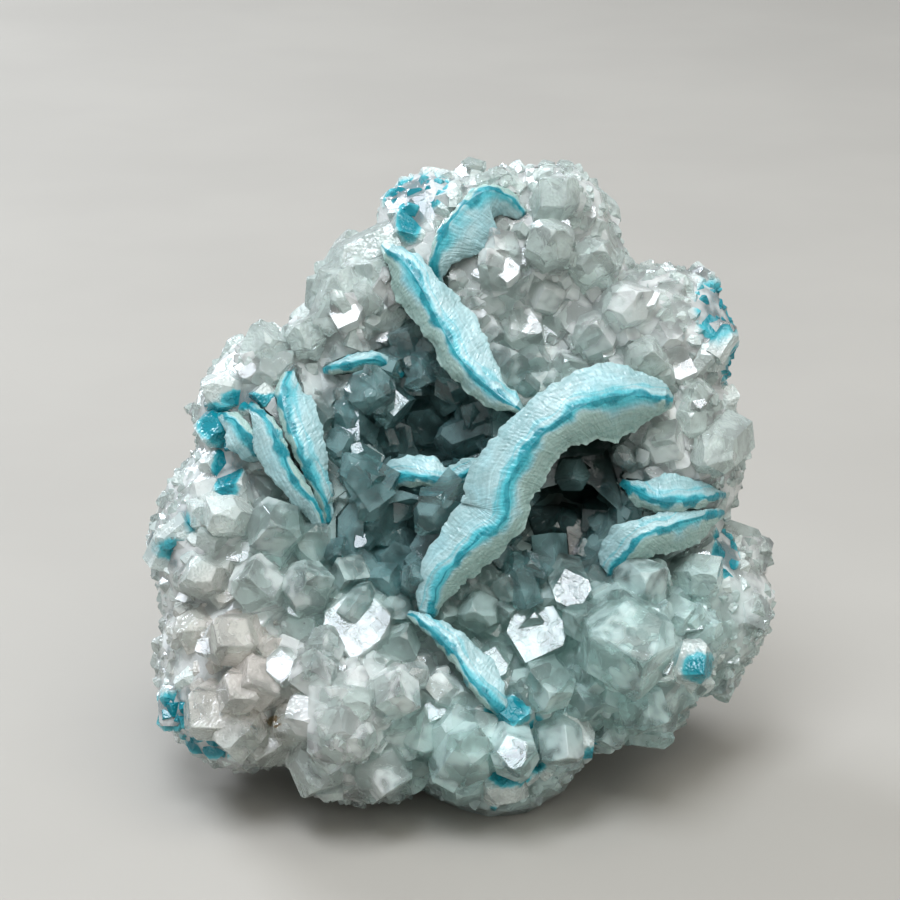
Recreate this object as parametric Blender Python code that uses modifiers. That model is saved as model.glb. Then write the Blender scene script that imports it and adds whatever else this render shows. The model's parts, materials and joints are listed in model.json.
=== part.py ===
"""A hand specimen of turquoise on quartz, about 70 mm wide, standing on its broken base.

The quartz body is a lumpy mass overgrown with quartz points. A hollow in its display face is lined
with a crust of larger points, and curved blades of quartz, each with a seam of turquoise along its
edge, stand out of the body and cross the hollow.
"""

import math
import random

import bmesh
import bpy
from mathutils import Matrix, Vector, noise
from mathutils.bvhtree import BVHTree

MM = 0.001

# The display face leans back. Every place is given on it, in millimetres: across to the right, up the
# face, and out of it towards the viewer. The specimen rests on the plane Z = 0.
FACE_LEAN = math.radians(20)
FACE_CENTRE = Vector((0, 0, 34.8))
FLOOR_CUT = 0.9

# Neighbouring pieces keep this gap, and a blade's root is sunk this deep in what it grows from.
GAP = 0.3
BLADE_ROOT = 1.6
CRUST_THICKNESS = 3.4

# Faces that lie in one plane within this angle are made one.
FLAT_ENOUGH = math.radians(5)

# The lumps that make the body: across, up, out, half width, half height, half depth.
LUMPS = (
    (-1, -4, -12, 29, 29, 19),
    (4, 24.6, -9, 15.5, 13, 12.5),
    (-3, 30.5, -6, 6.5, 6, 7.5),
    (11, 31, -6, 6.5, 6.5, 7.5),
    (22.5, 17, -6, 9, 9, 10.5),
    (23, 4, -7, 9.5, 12.5, 11.5),
    (28.5, -13.5, -8, 7.3, 9, 9),
    (17, -19, -4, 12, 10, 12.5),
    (4, -26, -2, 10.5, 11.5, 11.5),
    (-11, -25, 0, 10.5, 10.5, 12.5),
    (-24, -20.5, -4, 11, 11.5, 12.5),
    (-26, -7, -6, 9.5, 13, 11.5),
    (-21, 8, -6, 9.5, 10.5, 10.5),
    (-9, 18, -6, 9, 10, 10.5),
    (0, -20, -22, 22, 14, 13),
)
BODY_VOXEL = 1.3
BODY_TRIANGLES = 1150
BODY_ROUGHNESS = 1.0
BODY_GRAIN = 2.4

# The hollow in the display face, as overlapping ellipsoids like the lumps.
HOLLOWS = (
    (-4, 6.5, 3, 12.8, 12.8, 16),
    (11.5, -3.5, 2, 11.2, 9.2, 14),
    (13.5, 2.5, -4, 7, 6, 13),
    (-6, -5, 5, 9.6, 8.6, 10.8),
)
# Shallow dips in the face beside the hollow, in the same form.
DIPS = (
    (9, 19, 7, 9, 9, 8),
    (-5.5, 19, 6, 6, 8, 7),
)

# Quartz points: the end faces slope by this angle from the crystal's long axis.
END_FACE_TILT = math.radians(51.8)
PRISM_LENGTH = 3.2
POINT_SHAPES = 8

# The large points on the body that can be told apart: across, up, radius, how far the tip stands
# proud, and how far it leans to the right and up, in degrees.
LARGE_POINTS = (
    (-12.5, -24.8, 4.8, 4.6, -12, -22),
    (-14.6, -19.4, 2.6, 3.2, -8, 16),
    (-7.3, -21.4, 2.9, 3.4, 14, 4),
    (-25.0, -23.6, 4.6, 3.2, -24, -18),
    (-20.0, -19.6, 3.4, 3.2, -10, 10),
    (-22.3, -10.6, 3.3, 3.0, -14, 12),
    (-16.9, -11.0, 3.1, 3.4, -4, 20),
    (-20.4, -3.6, 3.7, 3.2, -4, 10),
    (-26.4, -3.0, 2.6, 2.2, -22, 6),
    (-29.4, -9.4, 2.5, 2.0, -30, 4),
    (-30.6, -15.4, 2.7, 2.0, -34, -6),
    (-25.6, -16.4, 3.0, 2.8, -18, -4),
    (-10.8, -14.2, 3.9, 3.4, 6, 30),
    (0.6, -27.6, 4.0, 4.0, 2, -18),
    (-2.4, -22.2, 2.5, 2.8, -6, 12),
    (5.6, -28.2, 2.7, 2.6, 8, -14),
    (11.2, -27.2, 2.8, 2.6, 14, -16),
    (7.6, -22.0, 3.0, 3.2, 4, 6),
    (8.2, -15.6, 3.9, 3.0, 0, 30),
    (18.2, -16.6, 5.6, 5.2, 10, -12),
    (20.4, -10.6, 3.4, 3.4, 6, 16),
    (13.6, -11.4, 3.0, 3.4, -10, 12),
    (26.6, -15.2, 2.6, 2.2, 26, -4),
    (26.4, -9.0, 2.4, 2.2, 22, 8),
    (19.4, -24.4, 2.8, 2.2, 18, -26),
    (4.4, 34.0, 2.6, 2.2, -4, 34),
    (11.4, 33.0, 3.4, 2.0, 12, 36),
    (4.4, 24.4, 2.2, 2.6, -8, 20),
    (9.8, 26.6, 3.0, 2.8, 6, 20),
    (15.2, 24.8, 3.0, 2.6, 16, 22),
    (18.8, 20.4, 2.8, 2.4, 18, 20),
    (14.6, 17.0, 3.0, 2.6, -4, 20),
    (21.6, 14.4, 2.6, 2.2, 12, 14),
    (26.0, 9.8, 2.7, 2.2, 24, 10),
    (-13.0, 20.4, 2.4, 2.4, -16, 26),
    (-23.6, 14.0, 2.0, 1.8, -24, 26),
    (-17.0, 16.6, 2.4, 2.0, -18, 26),
    (-8.4, 22.8, 2.4, 2.2, -10, 16),
)
# The large points of the hollow's crust, in the same form.
CRUST_POINTS = (
    (-7.4, -6.2, 3.2, 3.0, 8, 26),
    (-10.6, 0.8, 2.9, 2.8, 14, 10),
    (-4.6, -10.0, 2.3, 2.6, 4, 24),
    (-2.4, -1.4, 2.7, 3.0, 2, 14),
    (-10.2, 11.4, 3.0, 3.0, 20, -14),
    (-4.4, 14.0, 2.1, 2.2, 6, -26),
    (-0.2, 11.6, 2.4, 2.4, -14, -22),
    (-4.6, 7.2, 2.8, 2.6, 4, -8),
    (-8.8, 5.6, 2.4, 2.4, 16, -6),
    (1.4, 6.4, 2.2, 2.4, -16, 4),
    (10.6, -5.4, 3.4, 4.4, 6, 14),
    (7.4, -9.2, 2.4, 2.6, 8, 24),
    (16.6, -4.6, 2.6, 2.6, -20, 8),
    (12.4, 1.8, 2.2, 1.8, 4, -10),
)

# How much further than that the tips stand out, for points with more of their prism showing.
PROUDER = 1.3

# Smaller points between them: how many at the most, their radii from and to, and how far the ground
# they grow on may face the viewer, from -1 at the back to 1 at the front.
BODY_SCATTER = (
    (32, 2.1, 3.3, 0.3, 1.0),
    (14, 1.5, 2.3, -0.3, 0.8),
    (7, 2.0, 3.0, -1.0, -0.2),
)
CRUST_SCATTER = ((2, 1.6, 2.2, -1.0, 1.0),)
SCATTER_SPACING = 0.95
SCATTER_TRIES = 12
SCATTER_FLOOR = 2.5
SCATTER_LEAN = 0.35
SCATTER_RISE = (0.5, 0.9)

# The blades. Each station along the turquoise seam has: across, up, out, and the width of the blade
# to the left and to the right of the seam, seen while going along it.
BLADES = {
    "main_blade": (
        (-3.4, -13.4, 9, 1.4, 0.7),
        (-1.7, -9.1, 11, 2.4, 2.0),
        (1.8, -5.6, 12, 3.8, 2.4),
        (4.7, -2.9, 12.5, 4.4, 2.2),
        (5.4, 1.5, 13, 3.9, 3.2),
        (8.8, 6.2, 13, 3.2, 2.8),
        (12.7, 9.0, 12.5, 3.4, 3.8),
        (16.9, 10.2, 11, 2.5, 4.4),
        (21.6, 9.6, 9, 0.9, 1.2),
    ),
    "upper_blade": (
        (-8.0, 26.8, 5, 0.7, 0.7),
        (-6.3, 25.3, 6, 1.5, 1.8),
        (-4.7, 23.1, 7, 1.9, 2.7),
        (-2.2, 18.3, 8, 3.4, 1.8),
        (0.3, 14.1, 9, 3.2, 1.9),
        (3.8, 10.8, 10, 1.6, 1.6),
        (6.0, 9.2, 11, 0.8, 0.8),
    ),
    "crescent_blade": (
        (-8.5, 0.4, 5, 0.7, 0.7),
        (-7.0, 1.3, 6.5, 1.7, 1.0),
        (-5.3, 1.6, 7.5, 2.3, 1.1),
        (-3.6, 1.4, 8, 2.4, 1.1),
        (-1.9, 1.0, 8, 1.6, 1.1),
        (0.0, 1.6, 8.5, 1.4, 1.0),
        (1.6, 2.7, 9, 0.9, 0.8),
    ),
    "lower_blade": (
        (-4.9, -14.0, 9, 0.7, 0.6),
        (-3.1, -15.2, 10, 1.2, 0.8),
        (-1.7, -16.6, 10.5, 1.7, 0.8),
        (-0.3, -18.2, 11, 2.2, 0.8),
        (1.0, -20.2, 11.5, 2.6, 0.8),
        (2.7, -22.3, 12, 2.4, 0.8),
        (4.3, -24.0, 11.5, 1.0, 0.6),
    ),
    "crown_blade": (
        (-2.4, 21.4, 2, 0.6, 0.8),
        (-2.8, 25.2, 4.5, 0.6, 1.6),
        (-1.7, 28.7, 5.5, 0.6, 3.4),
        (0.5, 31.7, 5.5, 0.6, 3.4),
        (3.0, 33.3, 5, 0.7, 2.6),
        (5.2, 32.8, 3.5, 0.7, 1.8),
        (7.0, 31.0, 1.5, 0.6, 0.8),
    ),
    "left_spear_blade": (
        (-19.2, 13.0, 4, 0.8, 0.7),
        (-19.8, 10.6, 5.5, 2.8, 0.7),
        (-19.0, 7.3, 6.5, 3.2, 0.7),
        (-17.8, 4.4, 7, 2.6, 0.7),
        (-16.5, 1.8, 6.5, 1.9, 0.7),
        (-15.4, -0.8, 5.5, 1.2, 0.6),
        (-14.6, -3.5, 4, 0.6, 0.5),
    ),
    "left_leaf_blade": (
        (-22.8, 9.0, 5.5, 0.6, 0.9),
        (-21.4, 7.8, 6.5, 0.6, 2.0),
        (-20.2, 5.6, 7, 0.6, 2.5),
        (-18.9, 2.9, 7, 0.6, 2.4),
        (-17.5, 0.4, 6.5, 0.6, 2.0),
        (-16.2, -1.8, 5.5, 0.5, 1.4),
        (-15.4, -3.8, 4.5, 0.5, 0.7),
    ),
    "left_plate_blade": (
        (-26.2, 8.2, 4.5, 0.6, 0.8),
        (-25.0, 7.8, 5.5, 0.7, 2.2),
        (-23.6, 6.2, 6, 0.7, 2.6),
        (-22.6, 4.2, 5, 0.6, 1.6),
    ),
    "right_upper_blade": (
        (18.5, 0.6, 4, 0.5, 0.5),
        (20.3, -0.4, 6, 1.6, 0.8),
        (22.1, -1.3, 7, 2.9, 0.9),
        (24.3, -1.2, 6.5, 2.8, 0.9),
        (26.7, -0.7, 5, 2.0, 0.8),
        (29.0, -0.7, 2.5, 0.7, 0.5),
    ),
    "right_lower_blade": (
        (17.1, -9.5, 5, 1.0, 0.6),
        (17.8, -7.9, 6, 2.6, 1.0),
        (19.0, -6.4, 7, 2.8, 1.8),
        (20.5, -5.0, 7.5, 2.0, 2.2),
        (22.8, -3.9, 7, 1.2, 2.4),
        (26.2, -2.9, 5, 0.6, 2.2),
        (28.8, -2.7, 2.5, 0.5, 0.8),
    ),
    "upper_left_blade": (
        (-14.4, 13.6, 3.5, 0.6, 0.6),
        (-12.8, 14.0, 4, 0.8, 0.9),
        (-11.0, 14.6, 4, 0.8, 1.1),
        (-9.0, 14.5, 3.5, 0.8, 1.1),
        (-7.2, 13.4, 2.5, 0.6, 0.7),
    ),
}
# How far a blade's two shoulders lie below its seam, for each millimetre of width, how much narrower
# its root is, how far the root reaches down from the seam at the most, and at the least.
SHOULDER_DROP = 0.5
ROOT_NARROWING = 0.62
DEEPEST_BLADE = 13.0
LEAST_BLADE = 1.0

QUARTZ_COLOUR = (0.62, 0.68, 0.66, 1)
CRUST_COLOUR = (0.25, 0.36, 0.35, 1)
BLADE_COLOUR = (0.45, 0.70, 0.74, 1)


def clear_scene():
    for item in list(bpy.data.objects):
        bpy.data.objects.remove(item)


def face_matrix():
    """Carries millimetres on the display face (across, up, out) to metres in the world."""
    lean, level = math.sin(FACE_LEAN), math.cos(FACE_LEAN)
    turn = Matrix(((1, 0, 0), (0, lean, -level), (0, level, lean))).to_4x4()
    return Matrix.Scale(MM, 4) @ Matrix.Translation(FACE_CENTRE) @ turn


FACE = face_matrix()
FACE_INVERSE = FACE.inverted()
OUTWARDS = (FACE.to_3x3() @ Vector((0, 0, 1))).normalized()


def collection(name, shown):
    made = bpy.data.collections.new(name)
    bpy.context.scene.collection.children.link(made)
    made.hide_render = not shown
    return made


def material(name, colour, roughness):
    made = bpy.data.materials.new(name)
    made.use_nodes = True
    shader = made.node_tree.nodes["Principled BSDF"]
    shader.inputs["Base Color"].default_value = colour
    shader.inputs["Roughness"].default_value = roughness
    shader.inputs["Metallic"].default_value = 0
    return made


def make_object(name, bm, where):
    mesh = bpy.data.meshes.new(name)
    bm.to_mesh(mesh)
    bm.free()
    made = bpy.data.objects.new(name, mesh)
    where.objects.link(made)
    return made


def bmesh_of(item):
    bm = bmesh.new()
    bm.from_mesh(item.data)
    return bm


def make_cutter(name, bm):
    made = make_object(name, bm, HELPERS)
    made.hide_render = True
    made.display_type = "WIRE"
    return made


def settle(item):
    """Turns what the object's modifiers make of it into its own mesh."""
    graph = bpy.context.evaluated_depsgraph_get()
    mesh = bpy.data.meshes.new_from_object(item.evaluated_get(graph))
    item.modifiers.clear()
    item.data = mesh


def combine(item, other, operation):
    """Joins, cuts or trims the object by another one, whose shapes may cross each other."""
    modifier = item.modifiers.new(operation.title(), "BOOLEAN")
    modifier.operation = operation
    modifier.solver = "EXACT"
    modifier.use_self = True
    modifier.object = other
    settle(item)


def tidy(item):
    """Drops the crumbs that a cut leaves, and the edges that cross a flat face."""
    bm = bmesh_of(item)
    keep_largest(bm)
    bmesh.ops.dissolve_limit(bm, angle_limit=FLAT_ENOUGH, verts=bm.verts, edges=bm.edges)
    bm.to_mesh(item.data)
    bm.free()


def keep_largest(bm):
    """Keeps the connected part with the most faces."""
    left = set(bm.faces)
    parts = []
    while left:
        part, edge_of_part = set(), [left.pop()]
        while edge_of_part:
            face = edge_of_part.pop()
            part.add(face)
            for edge in face.edges:
                for near in edge.link_faces:
                    if near in left:
                        left.discard(near)
                        edge_of_part.append(near)
        parts.append(part)
    largest = max(parts, key=len)
    crumbs = [face for face in bm.faces if face not in largest]
    bmesh.ops.delete(bm, geom=crumbs, context="FACES")
    loose = [vert for vert in bm.verts if not vert.link_faces]
    bmesh.ops.delete(bm, geom=loose, context="VERTS")


def ellipsoids(rows, shrink=0.0, detail=3):
    """The rows' ellipsoids in one mesh, each smaller by shrink all round."""
    bm = bmesh.new()
    for across, up, out, half_width, half_height, half_depth in rows:
        size = Vector((half_width, half_height, half_depth)) - Vector((shrink,) * 3)
        place = FACE @ Matrix.Translation((across, up, out)) @ Matrix.Diagonal(size).to_4x4()
        bmesh.ops.create_icosphere(bm, subdivisions=detail, radius=1, matrix=place)
    return bm


def lumpy_body():
    """The body without its points: the lumps run together, coarsened to flat breaks, and roughened."""
    body = make_object("quartz_body", ellipsoids(LUMPS), HELPERS)
    remesh = body.modifiers.new("Run together", "REMESH")
    remesh.mode = "VOXEL"
    remesh.voxel_size = BODY_VOXEL * MM
    settle(body)
    coarsen = body.modifiers.new("Coarsen", "DECIMATE")
    coarsen.ratio = BODY_TRIANGLES / (2 * len(body.data.polygons))
    settle(body)
    for vert in body.data.vertices:
        swell = noise.noise(vert.co / (BODY_GRAIN * MM)) * BODY_ROUGHNESS * MM
        vert.co += vert.normal * swell
    combine(body, make_cutter("dips", ellipsoids(DIPS, detail=2)), "DIFFERENCE")
    return body


def surface_of(*items):
    """A tree of the objects' faces, for finding where a point grows."""
    bm = bmesh.new()
    for item in items:
        bm.from_mesh(item.data)
    tree = BVHTree.FromBMesh(bm)
    bm.free()
    return tree


def ground_at(tree, across, up):
    """The point of the surface that is seen at this place on the face, and its normal."""
    start = FACE @ Vector((across, up, 60))
    place, normal, _, _ = tree.ray_cast(start, -OUTWARDS)
    return place, normal


def point_shape(seed):
    """A quartz point of radius 1 with its tip at the origin: a six-sided prism with six end faces, of
    which three are larger, each cut by a plane."""
    draw = random.Random(seed)
    bm = bmesh.new()
    place = Matrix.Translation((0, 0, -PRISM_LENGTH / 2))
    bmesh.ops.create_cone(
        bm, cap_ends=True, segments=6, radius1=1, radius2=0.95, depth=PRISM_LENGTH, matrix=place
    )
    for side in range(6):
        turn = math.radians(60 * side)
        normal = Vector((math.cos(turn), math.sin(turn), 0)) * math.sin(END_FACE_TILT)
        normal.z = math.cos(END_FACE_TILT)
        set_back = draw.uniform(0.12, 0.4) if side % 2 else draw.uniform(0, 0.12)
        everything = bm.verts[:] + bm.edges[:] + bm.faces[:]
        cut = bmesh.ops.bisect_plane(
            bm, geom=everything, plane_co=normal * set_back, plane_no=normal, clear_outer=True
        )
        rim = [piece for piece in cut["geom_cut"] if isinstance(piece, bmesh.types.BMEdge)]
        if rim:
            bmesh.ops.contextual_create(bm, geom=rim)
    mesh = bpy.data.meshes.new(f"point_{seed}")
    bm.to_mesh(mesh)
    bm.free()
    return mesh


def grow_point(bm, shape, root, direction, radius, rise, spin):
    """Adds a quartz point to the mesh, its tip standing proud of its root by rise, in millimetres."""
    direction = direction.normalized()
    turn = direction.to_track_quat("Z", "Y").to_matrix().to_4x4() @ Matrix.Rotation(spin, 4, "Z")
    tip = root + direction * rise * MM
    known = set(bm.verts)
    bm.from_mesh(shape)
    place = Matrix.Translation(tip) @ turn @ Matrix.Scale(radius * MM, 4)
    bmesh.ops.transform(bm, matrix=place, verts=[v for v in bm.verts if v not in known])


def leaning(right, up):
    """The way a tip points: out of the face, turned to the right and up by these degrees."""
    out = math.radians(right), math.radians(up)
    return FACE.to_3x3() @ Vector((math.tan(out[0]), math.tan(out[1]), 1))


def scatter_points(bm, item, roots, shapes, rows, draw):
    """Adds small points all over the object's surface, clear of the roots that are taken."""
    item.data.calc_loop_triangles()
    triangles = item.data.loop_triangles
    corners = [[item.data.vertices[i].co for i in triangle.vertices] for triangle in triangles]
    areas = [triangle.area for triangle in triangles]
    for most, least_radius, largest_radius, facing_from, facing_to in rows:
        grown = 0
        for a, b, c in draw.choices(corners, areas, k=most * SCATTER_TRIES):
            one, two = sorted((draw.random(), draw.random()))
            place = a * one + b * (two - one) + c * (1 - two)
            radius = draw.uniform(least_radius, largest_radius)
            normal = (b - a).cross(c - a).normalized()
            facing = normal.dot(OUTWARDS)
            apart = SCATTER_SPACING * MM
            crowded = any((place - root).length < apart * (radius + size) for root, size in roots)
            if crowded or not facing_from <= facing <= facing_to or place.z < SCATTER_FLOOR * MM:
                continue
            lean = Vector([draw.uniform(-SCATTER_LEAN, SCATTER_LEAN) for _ in range(3)])
            rise = radius * draw.uniform(*SCATTER_RISE)
            spin = draw.uniform(0, math.pi)
            grow_point(bm, draw.choice(shapes), place, normal + lean, radius, rise, spin)
            roots.append((place, radius))
            grown += 1
            if grown == most:
                break


def points_on(item, rows, scatter, shapes, seed):
    """The large points of the rows and small ones between them, as one object of crossing shapes."""
    draw = random.Random(seed)
    tree = surface_of(item)
    bm = bmesh.new()
    roots = []
    for across, up, radius, rise, right, lean_up in rows:
        place, _ = ground_at(tree, across, up)
        shape = draw.choice(shapes)
        direction = leaning(right, lean_up)
        grow_point(bm, shape, place, direction, radius, rise * PROUDER, draw.uniform(0, math.pi))
        roots.append((place, radius))
    scatter_points(bm, item, roots, shapes, scatter, draw)
    return make_cutter(item.name + "_points", bm)


def blade_sections(stations, tree, grow=0.0):
    """A blade's sections, each with five corners: root, shoulder, seam, shoulder, root. The roots are
    sunk in what lies under the blade, and grown sections are larger on every side."""
    flat = [Vector(station[:2]) for station in stations]
    sections = []
    for number, (across, up, out, left, right) in enumerate(stations):
        before, after = flat[max(number - 1, 0)], flat[min(number + 1, len(flat) - 1)]
        along = (after - before).normalized()
        aside = Vector((-along.y, along.x))
        widths = ((1, left), (-1, right))
        feet = [flat[number] + aside * side * width * ROOT_NARROWING for side, width in widths]
        ground = max((FACE_INVERSE @ ground_at(tree, *foot)[0]).z for foot in feet)
        shoulders = [out - SHOULDER_DROP * width for side, width in widths]
        root = max(ground - BLADE_ROOT, out - DEEPEST_BLADE)
        root = min(root, min(shoulders) - LEAST_BLADE) - grow
        corners = []
        for (side, width), foot, shoulder in zip(widths, feet, shoulders):
            foot += aside * side * grow
            edge = flat[number] + aside * side * (width + grow)
            corners.append(((*foot, root), (*edge, shoulder + grow)))
        (root_left, high_left), (root_right, high_right) = corners
        crest = (across, up, out + grow)
        ring = [Vector(corner) for corner in (root_left, high_left, crest, high_right, root_right)]
        sections.append((ring, Vector((*along, 0))))
    return sections


def blade_mesh(stations, tree):
    """A blade lofted through its sections."""
    bm = bmesh.new()
    sections = blade_sections(stations, tree)
    rings = [[bm.verts.new(FACE @ corner) for corner in ring] for ring, _ in sections]
    for ring, following in zip(rings, rings[1:]):
        for corner in range(5):
            after = (corner + 1) % 5
            bm.faces.new((ring[corner], ring[after], following[after]))
            bm.faces.new((ring[corner], following[after], following[corner]))
    for ring in (rings[0], rings[-1]):
        bm.faces.new(ring[:3])
        bm.faces.new((ring[0], ring[2], ring[4]))
        bm.faces.new(ring[2:])
    bmesh.ops.recalc_face_normals(bm, faces=bm.faces)
    return bm


def socket_mesh(stations, tree):
    """Room for a blade and the gap round it: a block round each stretch of the blade."""
    bm = bmesh.new()
    sections = blade_sections(stations, tree, GAP)
    for (ring, along), (following, onward) in zip(sections, sections[1:]):
        corners = [corner - along * GAP for corner in ring]
        corners += [corner + onward * GAP for corner in following]
        verts = [bm.verts.new(FACE @ corner) for corner in corners]
        hull = bmesh.ops.convex_hull(bm, input=verts)
        inside = [piece for piece in hull["geom_interior"] if isinstance(piece, bmesh.types.BMVert)]
        bmesh.ops.delete(bm, geom=inside, context="VERTS")
    bmesh.ops.recalc_face_normals(bm, faces=bm.faces)
    return bm


def break_off_base(item):
    """Cuts the object off flat where the specimen rests."""
    bm = bmesh.new()
    size = Vector((200, 200, 40)) * MM
    place = Matrix.Translation((0, 0, FLOOR_CUT * MM - size.z / 2))
    bmesh.ops.create_cube(bm, size=1, matrix=place @ Matrix.Diagonal(size).to_4x4())
    combine(item, make_cutter("floor", bm), "DIFFERENCE")


def stand_on_origin(items):
    """Moves the pieces together so that the origin is under their middle, where they rest."""
    corners = [vert.co for item in items for vert in item.data.vertices]
    low = Vector([min(corner[axis] for corner in corners) for axis in range(3)])
    high = Vector([max(corner[axis] for corner in corners) for axis in range(3)])
    middle = (low + high) / 2
    for item in items:
        item.data.transform(Matrix.Translation((-middle.x, -middle.y, -low.z)))


def main():
    shapes = [point_shape(seed) for seed in range(POINT_SHAPES)]
    body = lumpy_body()

    # The body without its hollow and the bare floor of the crust are where the points grow from.
    wall = make_cutter("hollow_wall", ellipsoids(HOLLOWS, detail=1))
    crust_outside = make_cutter("crust_outside", ellipsoids(HOLLOWS, GAP, 1))
    crust_inside = make_cutter("crust_inside", ellipsoids(HOLLOWS, GAP + CRUST_THICKNESS, 1))
    bare = make_cutter("bare_body", bmesh_of(body))
    combine(bare, wall, "DIFFERENCE")
    crust = make_object("hollow_crust", bmesh_of(body), NODES)
    combine(crust, crust_inside, "DIFFERENCE")
    crust_floor = make_cutter("crust_floor", bmesh_of(crust))
    combine(crust_floor, crust_outside, "INTERSECT")
    tree = surface_of(bare, crust_floor)

    # The hollow's crust is trimmed to the hollow's wall once its points are on it.
    combine(crust, points_on(crust_floor, CRUST_POINTS, CRUST_SCATTER, shapes, 3), "UNION")
    combine(crust, crust_outside, "INTERSECT")

    quartz = make_object("quartz_matrix", bmesh_of(body), NODES)
    combine(quartz, points_on(bare, LARGE_POINTS, BODY_SCATTER, shapes, 5), "UNION")
    combine(quartz, wall, "DIFFERENCE")
    body.hide_render = True

    # Each blade gives way to those before it, and all cut their sockets in the quartz and the crust.
    blades = []
    sockets = []
    all_sockets = bmesh.new()
    for name, stations in BLADES.items():
        blade = make_object(name, blade_mesh(stations, tree), NODES)
        reach = surface_of(blade)
        for socket in sockets:
            if surface_of(socket).overlap(reach):
                combine(blade, socket, "DIFFERENCE")
        blades.append(blade)
        sockets.append(make_cutter(name + "_socket", socket_mesh(stations, tree)))
        all_sockets.from_mesh(sockets[-1].data)
    cutter = make_cutter("sockets", all_sockets)
    combine(quartz, cutter, "DIFFERENCE")
    combine(crust, cutter, "DIFFERENCE")

    break_off_base(quartz)
    looks = (
        ((quartz,), material("Milky quartz", QUARTZ_COLOUR, 0.3)),
        ((crust,), material("Smoky quartz crust", CRUST_COLOUR, 0.15)),
        (blades, material("Turquoise seamed quartz", BLADE_COLOUR, 0.4)),
    )
    for items, look in looks:
        for item in items:
            tidy(item)
            item.data.materials.clear()
            item.data.materials.append(look)
    stand_on_origin([quartz, crust, *blades])


clear_scene()
NODES = collection("turquoise_on_quartz", True)
HELPERS = collection("helpers", False)
main()
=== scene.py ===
"""The looks of a hand specimen of turquoise on quartz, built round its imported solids.

Quartz points of all sizes grow over the solid body, clear in the middle of the display face and milky
at its rim. The hollow is lined with clear points, and thin blades of sugary quartz, each seamed with
turquoise, stand out of the body.
"""

import json
import math
import random

import bmesh
import bpy
import numpy as np
from bpy.props import FloatProperty, FloatVectorProperty, PointerProperty
from mathutils import Matrix, Vector, noise
from mathutils.bvhtree import BVHTree

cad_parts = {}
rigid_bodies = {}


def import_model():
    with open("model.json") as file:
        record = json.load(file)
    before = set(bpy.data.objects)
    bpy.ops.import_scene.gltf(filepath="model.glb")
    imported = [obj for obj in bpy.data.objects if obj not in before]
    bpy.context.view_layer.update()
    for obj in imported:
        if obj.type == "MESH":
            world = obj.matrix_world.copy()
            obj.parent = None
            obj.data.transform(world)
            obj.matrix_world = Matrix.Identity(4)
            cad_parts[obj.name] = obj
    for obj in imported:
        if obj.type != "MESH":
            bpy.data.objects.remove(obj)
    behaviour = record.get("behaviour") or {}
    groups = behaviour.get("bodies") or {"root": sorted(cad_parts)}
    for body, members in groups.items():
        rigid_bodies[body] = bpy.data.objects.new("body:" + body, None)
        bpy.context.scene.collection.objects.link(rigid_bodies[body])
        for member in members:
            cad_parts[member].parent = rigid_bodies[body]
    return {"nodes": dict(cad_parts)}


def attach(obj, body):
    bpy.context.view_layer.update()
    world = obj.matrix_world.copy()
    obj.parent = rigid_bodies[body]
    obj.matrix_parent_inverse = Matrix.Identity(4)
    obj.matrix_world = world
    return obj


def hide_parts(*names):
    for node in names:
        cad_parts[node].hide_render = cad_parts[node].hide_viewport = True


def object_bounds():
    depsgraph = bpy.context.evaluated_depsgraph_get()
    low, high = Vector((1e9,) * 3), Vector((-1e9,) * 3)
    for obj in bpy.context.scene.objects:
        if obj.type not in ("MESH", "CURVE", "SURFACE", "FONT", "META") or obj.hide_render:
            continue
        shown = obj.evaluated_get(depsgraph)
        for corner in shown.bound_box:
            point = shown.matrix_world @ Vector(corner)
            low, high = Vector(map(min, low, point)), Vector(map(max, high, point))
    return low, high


bl_info = {
    "name": "Turquoise on Quartz",
    "version": (1, 0, 0),
    "blender": (4, 5, 0),
    "location": "View3D > Sidebar > Turquoise",
    "description": "Builds the looks of a turquoise specimen round its packed solids",
    "category": "Object",
}

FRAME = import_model()
LOADED_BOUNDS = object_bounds()
BODY = "root"
MM = 0.001

# The display face leans back. Places on it are in millimetres: across to the right, up the face and
# out of it towards the viewer.
FACE_LEAN = math.radians(20)
FACE_CENTRE = Vector((-0.288, -2.158, 33.9))

# The camera looks straight at the face from this far, a little up and left of its centre.
CAMERA_PLACE = Vector((-1.13, 4.5, 330))
CAMERA_LENS = 117
SENSOR_WIDTH = 36

# Where the window light comes from: its height above the horizon and its turn to the left.
WINDOW_HEIGHT = math.radians(66)
WINDOW_TURN = math.radians(-24)

# Quartz points: the end faces' outward directions tilt by this angle from the crystal's long axis.
# The prism below them narrows a little to its top. Lengths are in radii of the prism.
END_FACE_TILT = math.radians(51.8)
PRISM_LENGTH = 3.2
PRISM_TOP = 0.94
# How far the larger and the smaller end faces are set back from the tip, and how far the leading
# face of a flashing point comes forward.
LARGE_FACES = (0, 0.12)
SMALL_FACES = (0.12, 0.42)
LEADING_FACE = 0.3
WORN_EDGE = 0.03
# How many shapes the points are copies of, and how many of those have a leading face.
POINT_SHAPES = 10
LEADING_SHAPES = 4
LARGE_SEED = 20

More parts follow.
